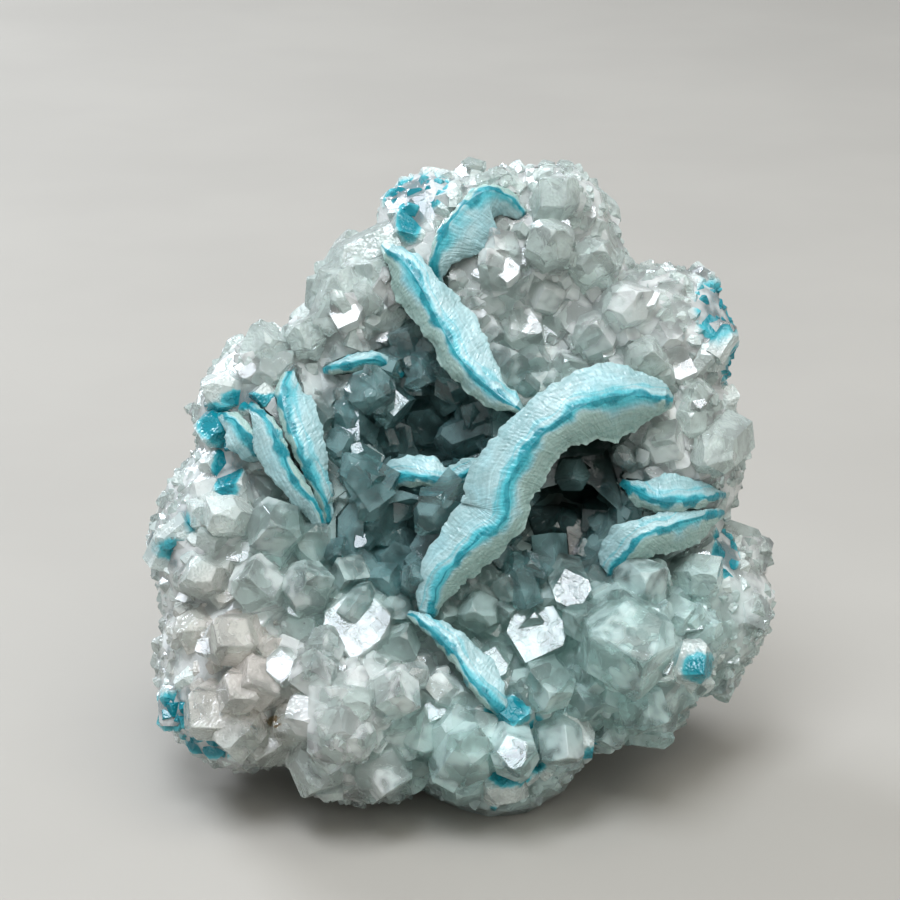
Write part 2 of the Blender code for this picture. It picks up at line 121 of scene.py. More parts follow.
# Points with a face turned to throw the window's light at the viewer: across, up, radius, how far the
# tip stands proud, and how far the tip is swung round from straight below that face, in degrees.
FLASHING_POINTS = (
    (-11.3, -15.6, 4.5, 4.3, -4),
    (-6.8, -7.6, 3.5, 3.4, 20),
    (0.2, 4.6, 2.2, 2.4, -24),
    (8.4, -16.4, 3.9, 3.6, -16),
    (12.4, -11.4, 2.5, 2.6, 18),
    (5.3, 24.2, 1.7, 1.8, 0),
    (-12.9, 19.2, 2.0, 1.8, -16),
    (-11.4, -1.2, 2.0, 2.2, 12),
    (25.6, -14.6, 2.2, 2.2, 50),
    (3.4, -19.6, 2.4, 2.6, -12),
    (-10.9, -25.0, 4.2, 4.8, 2),
    (-24.0, 13.4, 1.5, 1.4, -100),
    (25.2, 13.4, 1.9, 1.6, 70),
    (-19.4, -19.2, 2.0, 2.6, 4),
    (-22.6, -14.0, 1.8, 2.2, -30),
    (-24.6, -7.0, 1.6, 1.8, -50),
    (0.0, -1.8, 1.2, 1.4, 10),
    (6.8, 25.8, 1.0, 1.4, 30),
    (11.3, 28.4, 1.3, 2.0, 150),
    (14.6, 31.0, 1.0, 1.2, 140),
    (-18.2, 17.6, 1.2, 1.6, 8),
    (20.6, 21.0, 1.3, 2.0, 110),
    (26.4, 9.6, 0.9, 1.4, 80),
    (17.0, 15.8, 1.0, 2.0, -30),
    (-18.3, -12.6, 1.3, 3.0, 18),
    (-2.3, -23.6, 1.5, 3.0, -20),
    (21.6, -18.2, 1.4, 3.0, 24),
    (-27.4, -17.0, 1.2, 2.0, -60),
    (27.0, -7.6, 1.0, 1.8, 60),
    (6.9, -30.2, 1.2, 2.6, -8),
    (-9.2, -30.0, 1.3, 2.6, 14),
    (-30.6, -12.0, 0.9, 1.4, -70),
    (15.4, 8.0, 0.9, 1.4, 12),
)
# Large clear points beside them: across, up, radius, how far the tip stands proud, and how far it
# leans to the right and up, in degrees.
CLEAR_POINTS = (
    (-14.9, -25.6, 4.0, 5.4, -14, -10),
    (-15.8, -20.0, 2.8, 4.4, -8, 14),
    (-7.2, -21.8, 3.0, 4.6, 12, 4),
    (-22.0, -21.0, 3.4, 4.4, -12, 6),
    (-27.6, -24.6, 3.6, 3.4, -26, -18),
    (-24.0, -21.8, 2.8, 3.6, -12, -10),
    (-24.2, -26.6, 2.8, 3.4, -16, -26),
    (-21.4, -27.4, 4.2, 4.0, -12, -30),
    (-15.6, -30.2, 3.6, 3.8, -6, -34),
    (-8.6, -30.8, 3.6, 3.8, 4, -34),
    (-22.3, -10.4, 3.4, 4.4, -10, 14),
    (-16.9, -10.7, 3.2, 4.4, 4, 20),
    (-20.6, -4.0, 3.6, 3.6, -6, 6),
    (-26.2, -2.7, 2.6, 3.0, -20, 8),
    (-28.8, -9.6, 2.6, 3.0, -26, 0),
    (-29.6, -15.6, 2.6, 3.0, -30, -8),
    (-25.0, -16.4, 3.2, 3.8, -16, -4),
    (-12.2, -9.2, 2.6, 3.2, -6, -12),
    (-10.4, 1.8, 3.0, 3.4, 8, 16),
    (-5.0, -11.6, 2.4, 2.8, 10, -8),
    (0.2, -27.3, 4.3, 5.2, 4, -16),
    (-4.2, -26.6, 3.0, 3.6, -6, -20),
    (5.8, -28.4, 3.0, 4.0, 8, -22),
    (10.8, -27.4, 3.0, 4.0, 14, -20),
    (13.4, -23.2, 2.6, 3.4, 10, -10),
    (2.0, -13.4, 2.7, 3.0, -12, 6),
    (9.6, -21.2, 3.2, 4.2, 2, -6),
    (18.4, -17.0, 5.6, 5.6, 8, -12),
    (13.6, -14.4, 2.6, 3.6, -10, 8),
    (19.8, -10.6, 3.6, 4.2, 6, 18),
    (24.0, -14.0, 2.6, 3.4, 16, -2),
    (27.2, -9.6, 2.8, 3.4, 24, 4),
    (25.6, -19.0, 3.0, 3.6, 22, -18),
    (20.2, -24.2, 3.2, 3.6, 16, -26),
    (5.6, -10.4, 2.5, 2.8, -8, 22),
    (4.5, 33.4, 2.2, 2.4, 0, 34),
    (11.0, 33.2, 2.8, 2.8, 14, 30),
    (10.0, 27.6, 3.0, 3.4, 4, 16),
    (15.0, 25.8, 2.9, 3.2, 14, 22),
    (9.8, 22.0, 2.5, 2.8, -8, 14),
    (18.8, 21.0, 2.9, 3.0, 18, 18),
    (15.2, 17.6, 2.9, 3.0, 0, 16),
    (12.4, 13.6, 2.5, 2.6, -10, 18),
    (20.8, 14.8, 2.7, 2.8, 12, 12),
    (22.8, 5.4, 2.8, 2.8, 14, 10),
    (-17.4, 17.4, 2.4, 2.4, -14, 22),
    (-21.6, 13.0, 2.0, 2.2, -20, 12),
    (-10.4, 11.2, 3.2, 3.4, 8, 4),
    (-14.2, 8.4, 2.6, 2.6, 2, 6),
    (-8.4, 19.6, 2.6, 2.8, 4, 18),
    (-9.6, 24.4, 2.4, 2.4, -12, 24),
)

# Scattered points: how many at the most, radii from and to, how far the ground may face the viewer
# (from -1 at the back to 1 at the front), how far from the middle of the face they grow, where 1 is
# the rim, and how many radii their tips stand proud.
FACE_SCATTER = (
    (240, 2.0, 3.3, 0.1, 1.0, 0.0, 0.88, 0.5, 1.2),
    (420, 1.0, 1.9, 0.0, 1.0, 0.0, 0.88, 0.5, 1.2),
)
RIM_SCATTER = (
    (200, 1.4, 2.0, -0.6, 1.0, 0.8, 9.0, 0.1, 0.4),
    (700, 0.8, 1.6, -0.5, 1.0, 0.75, 9.0, 0.2, 0.7),
    (500, 0.4, 0.8, -0.3, 1.0, 0.6, 9.0, 0.4, 0.9),
)
BACK_SCATTER = ((320, 1.4, 2.8, -1.0, -0.3, 0.0, 9.0, 0.3, 0.9),)
HOLLOW_SCATTER = (
    (60, 1.7, 2.7, -1.0, 1.0, 0.0, 9.0, 0.5, 1.2),
    (120, 0.9, 1.5, -1.0, 1.0, 0.0, 9.0, 0.5, 1.2),
)
# Tries for each point, how far apart two points' roots are as a share of their radii together, how
# far a tip leans from the ground's direction, and how high the lowest root is in millimetres.
SCATTER_TRIES = 16
SCATTER_SPACING = 0.66
SCATTER_LEAN = 0.42
SCATTER_FLOOR = 1.6
# The share of the points up to this radius that are turned to flash, unless they would then lie
# flatter on the ground than this.
GLINTING_SHARE = 0.22
LARGEST_GLINT = 1.7
FLATTEST_GLINT = 0.55
# How far scattered points stay from the blades, in radii, and how far any point may go past the
# solids' box, in millimetres.
BLADE_CLEARANCE = 0.45
PAST_BOX = 0.4

# The face's rim as an ellipse in the plane of the face: half its width and height, and its middle.
RIM_SIZE = (33.0, 36.0)
RIM_MIDDLE = (0.0, -1.5)

# Corners this near to each other where points meet, in millimetres, become one.
NEAR_CORNERS = 0.001

# The milky heart inside the points: how coarse it is, how often it is softened, and how far it lies
# under the solids' surface.
HEART_VOXEL = 1.1
HEART_SOFTENING = 5
HEART_DEPTH = 1.0
# Seeds of the random draws.
FACES_SEED = 8
DRUSE_SEED = 11
HOLLOW_SEED = 5

# The hollow, as ellipsoids on the face: middle, then half width, height and depth. Its quartz is
# painted darker, as shade.
HOLLOWS = (
    (-4, 6.5, 3, 12.8, 12.8, 16),
    (11.5, -3.5, 2, 11.2, 9.2, 14),
    (13.5, 2.5, -4, 7, 6, 13),
    (-6, -5, 5, 9.6, 8.6, 10.8),
)
# Where the quartz is blue green from the light that comes through the hollow, in the same form.
DEEP_PLACES = ((-1.0, -1.0, 4, 20.5, 16.5, 24), (6, -14, 6, 9, 8, 14))
# The deepest of it, where the quartz is painted darkest, as shade, in the same form.
DARK_PLACES = ((13.5, 3.0, -5, 7.6, 6.0, 12), (9.0, -7.6, -2, 5.0, 3.2, 8))
# Where the quartz is faintly blue green, in the same form.
TINTED_PLACES = ((18, -18, 4, 16, 14, 24), (2, -29, 4, 12, 9, 24))
# Where the quartz is milky nearer the middle of the face, in the same form.
MILKY_PLACES = ((-16, 19, 0, 8, 8, 20), (-24, -20, 0, 7, 8, 20))
# Where the quartz is faintly warm, in the same form.
WARM_PLACES = ((-23, -19, 0, 12, 13, 20),)
# Where no scattered points grow, beside the ends of the blades, in the same form.
BARE_PLACES = (
    (-15.6, -1.4, 5, 3.2, 4.4, 12),
    (-17.0, 3.0, 5, 3.4, 3.4, 12),
    (-8.6, 0.6, 5, 3.0, 2.4, 12),
    (-2.6, 1.4, 5, 3.8, 2.4, 12),
)
# Turquoise stains, in the same form.
STAINS = (
    (-4.4, 33.4, -3, 4.4, 2.6, 6),
    (-5.8, 30.2, 0, 1.6, 2.4, 4),
    (28.7, 19.6, -4, 3.0, 4.4, 10),
    (31.0, 14.6, -5, 1.9, 2.6, 7),
    (-27.2, 7.4, 1, 2.4, 2.6, 6),
    (-26.0, 2.2, 2, 1.8, 4.2, 6),
    (-23.6, 10.0, 2, 3.4, 1.2, 5),
    (-29.8, -3.4, 0, 1.3, 2.0, 5),
    (-32.0, -6.4, -4, 2.8, 2.0, 10),
    (-31.6, -24.6, 0, 2.8, 2.8, 9),
    (-28.0, -28.2, 2, 3.6, 2.0, 9),
    (5.2, -24.0, 10, 2.6, 1.8, 5),
    (8.4, -28.0, 8, 1.4, 3.4, 6),
    (5.4, -31.2, 8, 2.4, 1.4, 6),
    (15.0, -29.4, 4, 1.9, 1.5, 6),
    (26.4, -19.6, 2, 2.3, 1.9, 8),
    (30.2, -7.0, -2, 1.6, 3.4, 7),
    (3.6, -36.0, 2, 1.1, 1.2, 6),
    (-12.6, -5.6, 6, 0.8, 2.0, 4),
)
# Points and faces have the stains' material up to here, where 1 is the stain's surface.
STAIN_REACH = 1.5
# A speck of iron rust on the face: across, up and radius.
RUST_SPECK = (-20.6, -25.2, 0.8)

# No points grow in the hollow's crust up to here in its dark places.
DARK_REACH = 1.1
# Points are milky from this far out on the face, where 1 is the rim, give or take this much. They are
# milky sooner by this much in the milky places, and by this much for each millimetre that they lie
# deeper behind the face than this.
MILKY_FROM = 0.8
MILKY_RAGGED = 0.14
MILKY_SOONER = 0.25
MILKY_BEHIND = 0.03
FACE_DEPTH = 2

# The blades. Each station along the turquoise seam has: across, up, out, and the width of the blade
# to the left and to the right of the seam, seen while going along it.
BLADES = {
    "main_blade": (
        (-3.4, -13.4, 9, 1.4, 0.7),
        (-1.7, -9.1, 11, 2.4, 2.0),
        (1.8, -5.6, 12, 3.8, 2.4),
        (4.7, -2.9, 12.5, 4.4, 2.2),
        (5.4, 1.5, 13, 3.9, 3.2),
        (8.8, 6.2, 13, 3.2, 2.8),
        (12.7, 9.0, 12.5, 3.4, 3.8),
        (16.4, 10.3, 11.5, 3.5, 4.4),
        (20.0, 10.4, 10.5, 2.4, 3.2),
        (22.4, 10.0, 9.5, 1.5, 1.4),
    ),
    "upper_blade": (
        (-8.0, 26.8, 5, 0.7, 0.7),
        (-6.3, 25.3, 6, 1.5, 1.8),
        (-4.7, 23.1, 7, 1.9, 2.7),
        (-2.2, 18.3, 8, 3.4, 1.8),
        (0.3, 14.1, 9, 3.2, 1.9),
        (3.8, 10.8, 10, 1.6, 1.6),
        (6.0, 9.2, 11, 0.8, 0.8),
    ),
    "crescent_blade": (
        (-8.5, 0.4, 5, 0.7, 0.7),
        (-7.0, 1.3, 6.5, 1.7, 1.0),
        (-5.3, 1.6, 7.5, 2.3, 1.1),
        (-3.6, 1.4, 8, 2.4, 1.1),
        (-1.9, 1.0, 8, 1.6, 1.1),
        (0.0, 1.6, 8.5, 1.4, 1.0),
        (1.6, 2.7, 9, 0.9, 0.8),
    ),
    "lower_blade": (
        (-4.9, -14.0, 9, 0.7, 0.6),
        (-3.1, -15.2, 10, 1.2, 0.8),
        (-1.7, -16.6, 10.5, 1.7, 0.8),
        (-0.3, -18.2, 11, 2.2, 0.8),
        (1.0, -20.2, 11.5, 2.6, 0.8),
        (2.7, -22.3, 12, 2.4, 0.8),
        (4.3, -24.0, 11.5, 1.0, 0.6),
    ),
    "crown_blade": (
        (-2.4, 21.4, 2, 0.6, 0.8),
        (-2.8, 25.2, 4.5, 0.6, 1.6),
        (-1.7, 28.7, 5.5, 0.6, 4.2),
        (0.5, 31.7, 5.5, 0.6, 4.4),
        (3.0, 33.3, 5, 0.7, 3.6),
        (5.2, 32.8, 3.5, 0.7, 2.4),
        (7.0, 31.0, 1.5, 0.6, 0.8),
    ),
    "left_spear_blade": (
        (-19.2, 13.0, 4, 0.8, 0.7),
        (-19.8, 10.6, 5.5, 2.8, 0.7),
        (-19.0, 7.3, 6.5, 3.2, 0.7),
        (-17.8, 4.4, 7, 2.6, 0.7),
        (-16.5, 1.8, 6.5, 1.9, 0.7),
        (-15.4, -0.8, 5.5, 1.2, 0.6),
        (-14.6, -3.5, 4, 0.6, 0.5),
    ),
    "left_leaf_blade": (
        (-22.8, 9.0, 5.5, 0.6, 0.9),
        (-21.4, 7.8, 6.5, 0.6, 2.0),
        (-20.2, 5.6, 7, 0.6, 2.5),
        (-18.9, 2.9, 7, 0.6, 2.4),
        (-17.5, 0.4, 6.5, 0.6, 2.0),
        (-16.2, -1.8, 5.5, 0.5, 1.4),
        (-15.4, -3.8, 4.5, 0.5, 0.7),
    ),
    "left_plate_blade": (
        (-26.2, 8.2, 4.5, 0.6, 0.8),
        (-25.0, 7.8, 5.5, 0.7, 2.2),
        (-23.6, 6.2, 6, 0.7, 2.6),
        (-22.6, 4.2, 5, 0.6, 1.6),
    ),
    "right_upper_blade": (
        (18.5, 0.6, 4, 0.5, 0.5),
        (20.3, -0.4, 6, 1.6, 1.2),
        (22.1, -1.1, 7, 2.9, 1.3),
        (24.3, -1.2, 6.5, 2.8, 1.2),
        (26.7, -0.9, 5, 2.0, 0.9),
        (29.0, -0.7, 2.5, 0.7, 0.5),
    ),
    "right_lower_blade": (
        (17.1, -9.5, 5, 1.0, 0.6),
        (17.8, -7.9, 6, 2.6, 1.0),
        (19.0, -6.4, 7, 2.8, 1.8),
        (20.5, -5.0, 7.5, 2.0, 2.2),
        (22.8, -3.9, 7, 1.4, 2.9),
        (26.2, -2.9, 5, 0.7, 2.6),
        (28.8, -2.7, 2.5, 0.5, 0.8),
    ),
    "upper_left_blade": (
        (-14.4, 13.6, 3.5, 0.6, 0.6),
        (-12.8, 14.0, 4, 0.8, 0.9),
        (-11.0, 14.6, 4, 0.8, 1.1),
        (-9.0, 14.5, 3.5, 0.8, 1.1),
        (-7.2, 13.4, 2.5, 0.6, 0.7),
    ),
}
# The side of the seam that faces up is the left one, but on these it is the right one. The other side
# is painted darker, as shade.
PALE_ON_THE_RIGHT = ("crown_blade", "left_leaf_blade", "left_plate_blade")
# How finely a blade is made, in millimetres along it and in steps from its seam to its edge, and how
# far its ends run on. An end piece has this share of the width next to it.
BLADE_STEP = 0.22
TOP_STEPS = 10
BLADE_END = 1.0
END_NARROWING = 0.4
# A blade's direction is taken from this many sections before to this many after.
TURNING_SECTIONS = 3
# How far its edges lie below its seam, as a share of its width, on the pale and on the shaded side,
# and how much of that is a straight slope. The rest is a curve.
PALE_DROP = 0.36
SHADED_DROP = 0.95
STRAIGHT_SHARE = 0.35
# Its skirt below each edge: how far out as a share of its width, and how far down in millimetres.
SKIRT = ((0.1, 0.25), (0.0, 0.6), (-0.05, 1.0), (-0.1, 1.5), (-0.3, 2.1), (-0.5, 2.8))
# Its root: its width as a share of the blade's, how deep it is in the ground, at least how far below
# the skirt and at most how far below the seam it is, and how low the ground is taken to be.
ROOT_NARROWING = 0.62
BLADE_ROOT = 1.6
ROOT_BELOW_SKIRT = 1.2
DEEPEST_BLADE = 13.0
LOWEST_GROUND = -20.0
# The ground is looked for this far beside the blade's edges.
GROUND_ASIDE = 1.0
# How far sugar moves the blades' faces, and how far from the seam it starts.
SUGAR = 0.035
SUGAR_FROM_SEAM = 0.3
# How deep the blades' edges are notched, and over what lengths. The noise for each edge is taken this
# far to its side, so that the two differ. No edge comes nearer to the seam than this.
JAGS = ((0.45, 2.1), (0.2, 0.8), (0.1, 0.35))
EDGES_APART = 7
NARROWEST_SIDE = 0.25
# Fine ridges along the blade, waves across it and lumps on its skirt: how high, and their lengths.
# Along the blade the ridges change only this much as fast as across it.
RIDGES = (0.05, 0.35)
ALONG_RIDGES = 0.15
WAVES = (0.3, 2.2)
SKIRT_LUMPS = (0.25, 0.8)
# A blade narrower than this has a narrower halo beside its seam.
FULL_HALO = 3.6
# What is kept on the blades for their colours. The skirt's mask goes on by this much to the root.
ROOT_MASK = 2
BLADE_MASKS = ("from_seam", "down_skirt", "pale", "breadth")
# Seeds of the blades' noise are this far apart.
SEED_STEP = 7.3

# Materials. Sizes and heights are in millimetres.
QUARTZ_IOR = 1.544
# Each kind of quartz point: how clear it is where it has fewest and most veils, its roughness where
# it is polished and etched, how strong its steps are and how high its dust is to them.
POINT_LOOKS = {
    "clear_rock_crystal": ((0.86, 0.45), (0.02, 0.24), 0.25, 1.2),
    # The hollow's points: the clear ones again, with darker colours that are painted shade
    "shaded_hollow_rock_crystal": ((0.85, 0.6), (0.02, 0.24), 0.25, 1.2),
    "milky_quartz_points": ((0.78, 0.45), (0.05, 0.25), 0.35, 4.0),
    "turquoise_stained_quartz": ((0.5, 0.25), (0.1, 0.4), 0.5, 4.0),
}
# Noise has this roughness from coarse to fine. A row of it says how large its lumps are, its detail,
# from and to which value it counts, and sometimes what it is turned to.
NOISE = {"Roughness": 0.55}
MIDDLE_OF_NOISE = (0.5, 0.5, 0.5)
VEILS = (3.6, 2, 0.35, 0.7)
STEPS = (1.1, 2)
DUST = (0.3, 0)
SPECK_NOISE = (0.5, 1, 0.3, 0.7)
PAPER_NOISE = (60, 3, 0.3, 0.7)
# The blades' noise: how far the seam wanders, how much it swells, how far its halo spreads, the tones
# of the bands and of the seam, and how frosted the surface is.
BLADE_NOISE = (
    (3.6, 1, 0.25, 0.75, -0.36, 0.36),
    (2.1, 1, 0.38, 0.7, 0.35, 2.6),
    (4.5, 2, 0.35, 0.65, 0.6, 1.9),
    (5.0, 2, 0.35, 0.65),
    (1.4, 2, 0.4, 0.65),
    (0.5, 3, 0.4, 0.65, 0.45, 0.2),
)
# Where the steps' noise is etched, and where it rises by a step, this high.
ETCHED = (0.5, 0.68)
STEP_EDGE = (0.5, 0.56)
STEP_HEIGHT = 0.1
# How veiled the dusted places are.
DUSTED = (0.2, 0.8)
# What light goes through takes on this colour, by this much in each metre.
PASSING_COLOUR = "#A6CCC8"
ABSORPTION = 60.0
# The grains of massive quartz, the milk in them, and the shades that both together make.
GRAIN_SIZE = 2.6
MILK_SIZE = 1.2
GRAIN_SHADES = (0.05, 0.45, 0.6, 1.15)
# The stains' edges: the lumps that move them and how far, and where they fade. Then where the stain
# turns pale blue and deep blue, and how it shuts out light.
STAIN_RAGGED = (1.6, 1.3)
STAIN_FADE = (0.55, 1.25)
PALE_STAIN = (0.0, 0.5)
DEEP_STAIN = (0.4, 0.9)
OPAQUE_STAINS = (0.0, 0.6, 1.0, 0.15)
# The rust speck's edge, in its radii: how ragged it is, and where it fades.
SPECK_RAGGED = 0.6
SPECK_FADE = (0.5, 1.0)
# Where the blades' colours give way to the next ones, in half seam widths, and how much of it: the
# seam's to the quartz, the halo's to the bands, and the bands' to the outer quartz and to the painted
# shade of the flank.
SEAM_FADE = (0.7, 1.8, 1.0)
HALO_FADE = (1.3, 5.5, 1.0)
OUTER_FADE = (6.0, 15.0, 0.65)
FLANK_FADE = (3.5, 8.0, 1.0)
# How pale the side is where it turns to the shaded one, and how far down the skirt's painted shade
# starts.
SHADED_SIDE = (0.2, 0.8)
SKIRT_FADE = (0.1, 1.2)
# A fainter second seam: its distance from the first, and how it fades.
SECOND_SEAM = 1.15
SECOND_FADE = (0.02, 0.2, 0.55, 0.0)
# Growth layers of the blades, about this many in a millimetre, and their shades.
LAYERS = {"Scale": 2.6, "Detail": 3, "Roughness": 0.6}
LAYER_SHADES = (0.35, 0.65, 0.85, 1.08)
SUGAR_SIZE = 0.3
SUGAR_HEIGHT = 0.08
PAPER_LIGHTENING = 1.05
# Settings of nodes: a smooth turn from one value to another, and a mix of colours, whose inputs are
# its share (0) and the two colours (6 and 7).
SMOOTH = {"interpolation_type": "SMOOTHSTEP"}
COLOURS = {"data_type": "RGBA"}

# The stage, in metres. Each light: which way it lies from the specimen, how far and how wide it is,
# and its share of the window's power. The back light has its own power.
FLOOR_WIDTH = 4
WINDOW_LIGHT = (0.8, 0.36)
FILL_LIGHTS = (
    ("overhead", (0.25, -0.35, 1.0), 0.9, 0.7, 0.8),
    ("front", (0.4, -1.0, 0.6), 1.0, 0.9, 0.3),
)
BACK_LIGHT = ((-0.6, 0.62, 0.5), 0.8, 0.3)
WARM_LIGHT = "#FFFAF3"
COOL_LIGHT = "#EEF4FF"
SKY_COLOUR = "#E9ECEE"
SKY_STRENGTH = 0.58
# The camera sees nothing nearer than this.
NEAREST_SEEN = 0.01


def linear(hex_colour):
    """The linear colour of an sRGB hex value."""
    channels = [int(hex_colour[i : i + 2], 16) / 255 for i in (1, 3, 5)]
    return [c / 12.92 if c <= 0.04045 else ((c + 0.055) / 1.055) ** 2.4 for c in channels]


def colour_setting(name, description, hex_colour):
    return FloatVectorProperty(
        name=name, description=description, subtype="COLOR", default=linear(hex_colour)
    )


class QuartzSettings(bpy.types.PropertyGroup):
    """Sizes and colours of the quartz."""

    heart_depth: FloatProperty(
        name="Heart depth",
        description="How far the milky heart lies under the surface",
        default=HEART_DEPTH * MM,
        unit="LENGTH",
    )
    rim_colour: colour_setting("Rim", "Milky quartz at the rim", "#DFE9E5")
    face_colour: colour_setting("Face", "Quartz of the face", "#AFC5C0")
    # Painted shade: the quartz in the hollow is darker, as shade
    hollow_shade_colour: colour_setting("Hollow", "Quartz in the hollow", "#4E7F80")
    # Painted shade: the quartz deepest in the hollow is darkest
    depth_shade_colour: colour_setting("Depths", "Quartz deep in it", "#22362F")
    clear_colour: colour_setting("Clear", "Clear points", "#F5F8F6")
    clear_deep_colour: colour_setting("Clear, deep", "Clear points", "#B9D2CE")
    # Painted shade: the hollow's points are the clear ones made darker
    shaded_hollow_colour: colour_setting("Shaded hollow", "The hollow's points", "#BCD8D8")
    shaded_hollow_deep_colour: colour_setting("Smoky, deep", "Its points", "#95BDBE")
    tint_colour: colour_setting("Tint", "Blue green quartz", "#D3EDEA")
    veil_colour: colour_setting("Veils", "Clouds in milky points", "#CBD8D3")
    warm_colour: colour_setting("Warm", "Faintly warm quartz", "#DCD5CD")
    rust_colour: colour_setting("Rust", "The speck of iron rust", "#8A6A3E")


class BladeSettings(bpy.types.PropertyGroup):
    """Sizes and colours of the blades."""

    seam_width: FloatProperty(
        name="Seam width",
        description="About half the width of the turquoise seam",
        default=0.22 * MM,
        unit="LENGTH",
    )
    seam_colour: colour_setting("Seam", "Turquoise", "#0A7A87")
    halo_colour: colour_setting("Halo", "Quartz beside the seam", "#46ABB6")
    band_colour: colour_setting("Band", "The pale bands", "#A3C1C3")
    outer_colour: colour_setting("Outer", "Towards the edges", "#86A5A6")
    # Painted shade: the flank away from the light and the skirt underneath
    shaded_flank_colour: colour_setting("Skirt", "The blade's flanks", "#97B3AC")
    pale_seam_colour: colour_setting("Pale seam", "Paler turquoise", "#2894A0")
    cool_band_colour: colour_setting("Cool band", "The bluer bands", "#94BCC1")


class StageSettings(bpy.types.PropertyGroup):
    """The floor and the lights."""

    window_power: FloatProperty(
        name="Window", description="Power of the window light", default=5.4, unit="POWER"
    )
    rim_power: FloatProperty(
        name="Back light", description="Power of the light behind", default=5.6, unit="POWER"
    )
    floor_colour: colour_setting("Floor", "Pale backing paper", "#98958E")


def face_matrix():
    """Carries millimetres on the display face to metres in the frame."""
    lean, level = math.sin(FACE_LEAN), math.cos(FACE_LEAN)
    turn = Matrix(((1, 0, 0), (0, lean, -level), (0, level, lean))).to_4x4()
    return Matrix.Scale(MM, 4) @ Matrix.Translation(FACE_CENTRE) @ turn


FACE = face_matrix()
FACE_INVERSE = FACE.inverted()
FACE_TURN = FACE.to_3x3().normalized()
OUTWARDS = FACE_TURN @ Vector((0, 0, 1))


def window_direction():
    """The way from the specimen to the window."""
    level = math.cos(WINDOW_HEIGHT)
    away = Vector((math.sin(WINDOW_TURN) * level, -math.cos(WINDOW_TURN) * level, 0))
    return away + Vector((0, 0, math.sin(WINDOW_HEIGHT)))


def deselect():
    bpy.ops.object.select_all(action="DESELECT")


def select_only(item):
    deselect()
    item.select_set(True)
    bpy.context.view_layer.objects.active = item


def apply_modifiers(item):
    select_only(item)
    for modifier in list(item.modifiers):
        bpy.ops.object.modifier_apply(modifier=modifier.name)


def place_piece(item, *nodes):
    """Lets the piece stand for the nodes and go with the specimen's body."""
    if nodes:
        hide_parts(*nodes)
    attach(item, BODY)


def add_node(tree, kind, inputs=(), **settings):
    """Adds a node with its settings. Its inputs, by name or in order, take values and links: a node
    stands for the first of its outputs in use, and colours are without alpha."""
    made = tree.nodes.new("ShaderNode" + kind)
    for name, value in settings.items():
        setattr(made, name, value)
    for place, value in inputs.items() if isinstance(inputs, dict) else enumerate(inputs):
        socket = made.inputs[place]
        if isinstance(value, bpy.types.Node):
            value = next(output for output in value.outputs if output.enabled)
        if isinstance(value, bpy.types.NodeSocket):
            tree.links.new(value, socket)
        else:
            socket.default_value = (*value, 1) if socket.type == "RGBA" else value
    return made


def new_material(name):
    made = bpy.data.materials.new(name)
    made.use_nodes = True
    made.node_tree.nodes.clear()
    return made, made.node_tree


def wear(item, *materials):
    item.data.materials.clear()
    for look in materials:
        item.data.materials.append(look)


# Shapes


def node_copy(name, *nodes):
    """A new object with the nodes' meshes, each closed again from its loose triangles."""
    bm = bmesh.new()
    for node in nodes:
        source = FRAME["nodes"][node]
        mesh = source.data.copy()
        mesh.transform(source.matrix_world)
        bm.from_mesh(mesh)
    bmesh.ops.remove_doubles(bm, verts=bm.verts, dist=0.0005 * MM)
    mesh = bpy.data.meshes.new(name)
    bm.to_mesh(mesh)
    bm.free()
    made = bpy.data.objects.new(name, mesh)
    bpy.context.scene.collection.objects.link(made)
    return made


def surface_of(*items):
    """A tree of the objects' faces."""
    bm = bmesh.new()
    for item in items:
        bm.from_mesh(item.data)
    tree = BVHTree.FromBMesh(bm)
    bm.free()
    return tree


def node_surface(*nodes):
    """A tree of the nodes' faces."""
    copy = node_copy("probe", *nodes)
    tree = surface_of(copy)
    bpy.data.objects.remove(copy)
    return tree


def keep_outside(item):
    """Deletes the closed pockets shut in under the surface, and runs corners together that are as
    good as one."""
    select_only(item)
    highest = max(item.data.vertices, key=lambda vert: vert.co.z).index
    bpy.ops.object.mode_set(mode="EDIT")
    bpy.ops.mesh.select_all(action="DESELECT")
    bpy.ops.object.mode_set(mode="OBJECT")
    item.data.vertices[highest].select = True
    bpy.ops.object.mode_set(mode="EDIT")
    bpy.ops.mesh.select_linked()
    bpy.ops.mesh.select_all(action="INVERT")
    bpy.ops.mesh.delete(type="VERT")
    bpy.ops.mesh.select_all(action="SELECT")
    bpy.ops.mesh.remove_doubles(threshold=NEAR_CORNERS * MM)
    bpy.ops.object.mode_set(mode="OBJECT")


def ground_at(tree, across, up):
    """The point of the surface seen at this place on the face."""
    return tree.ray_cast(FACE @ Vector((across, up, 60)), -OUTWARDS)[0]


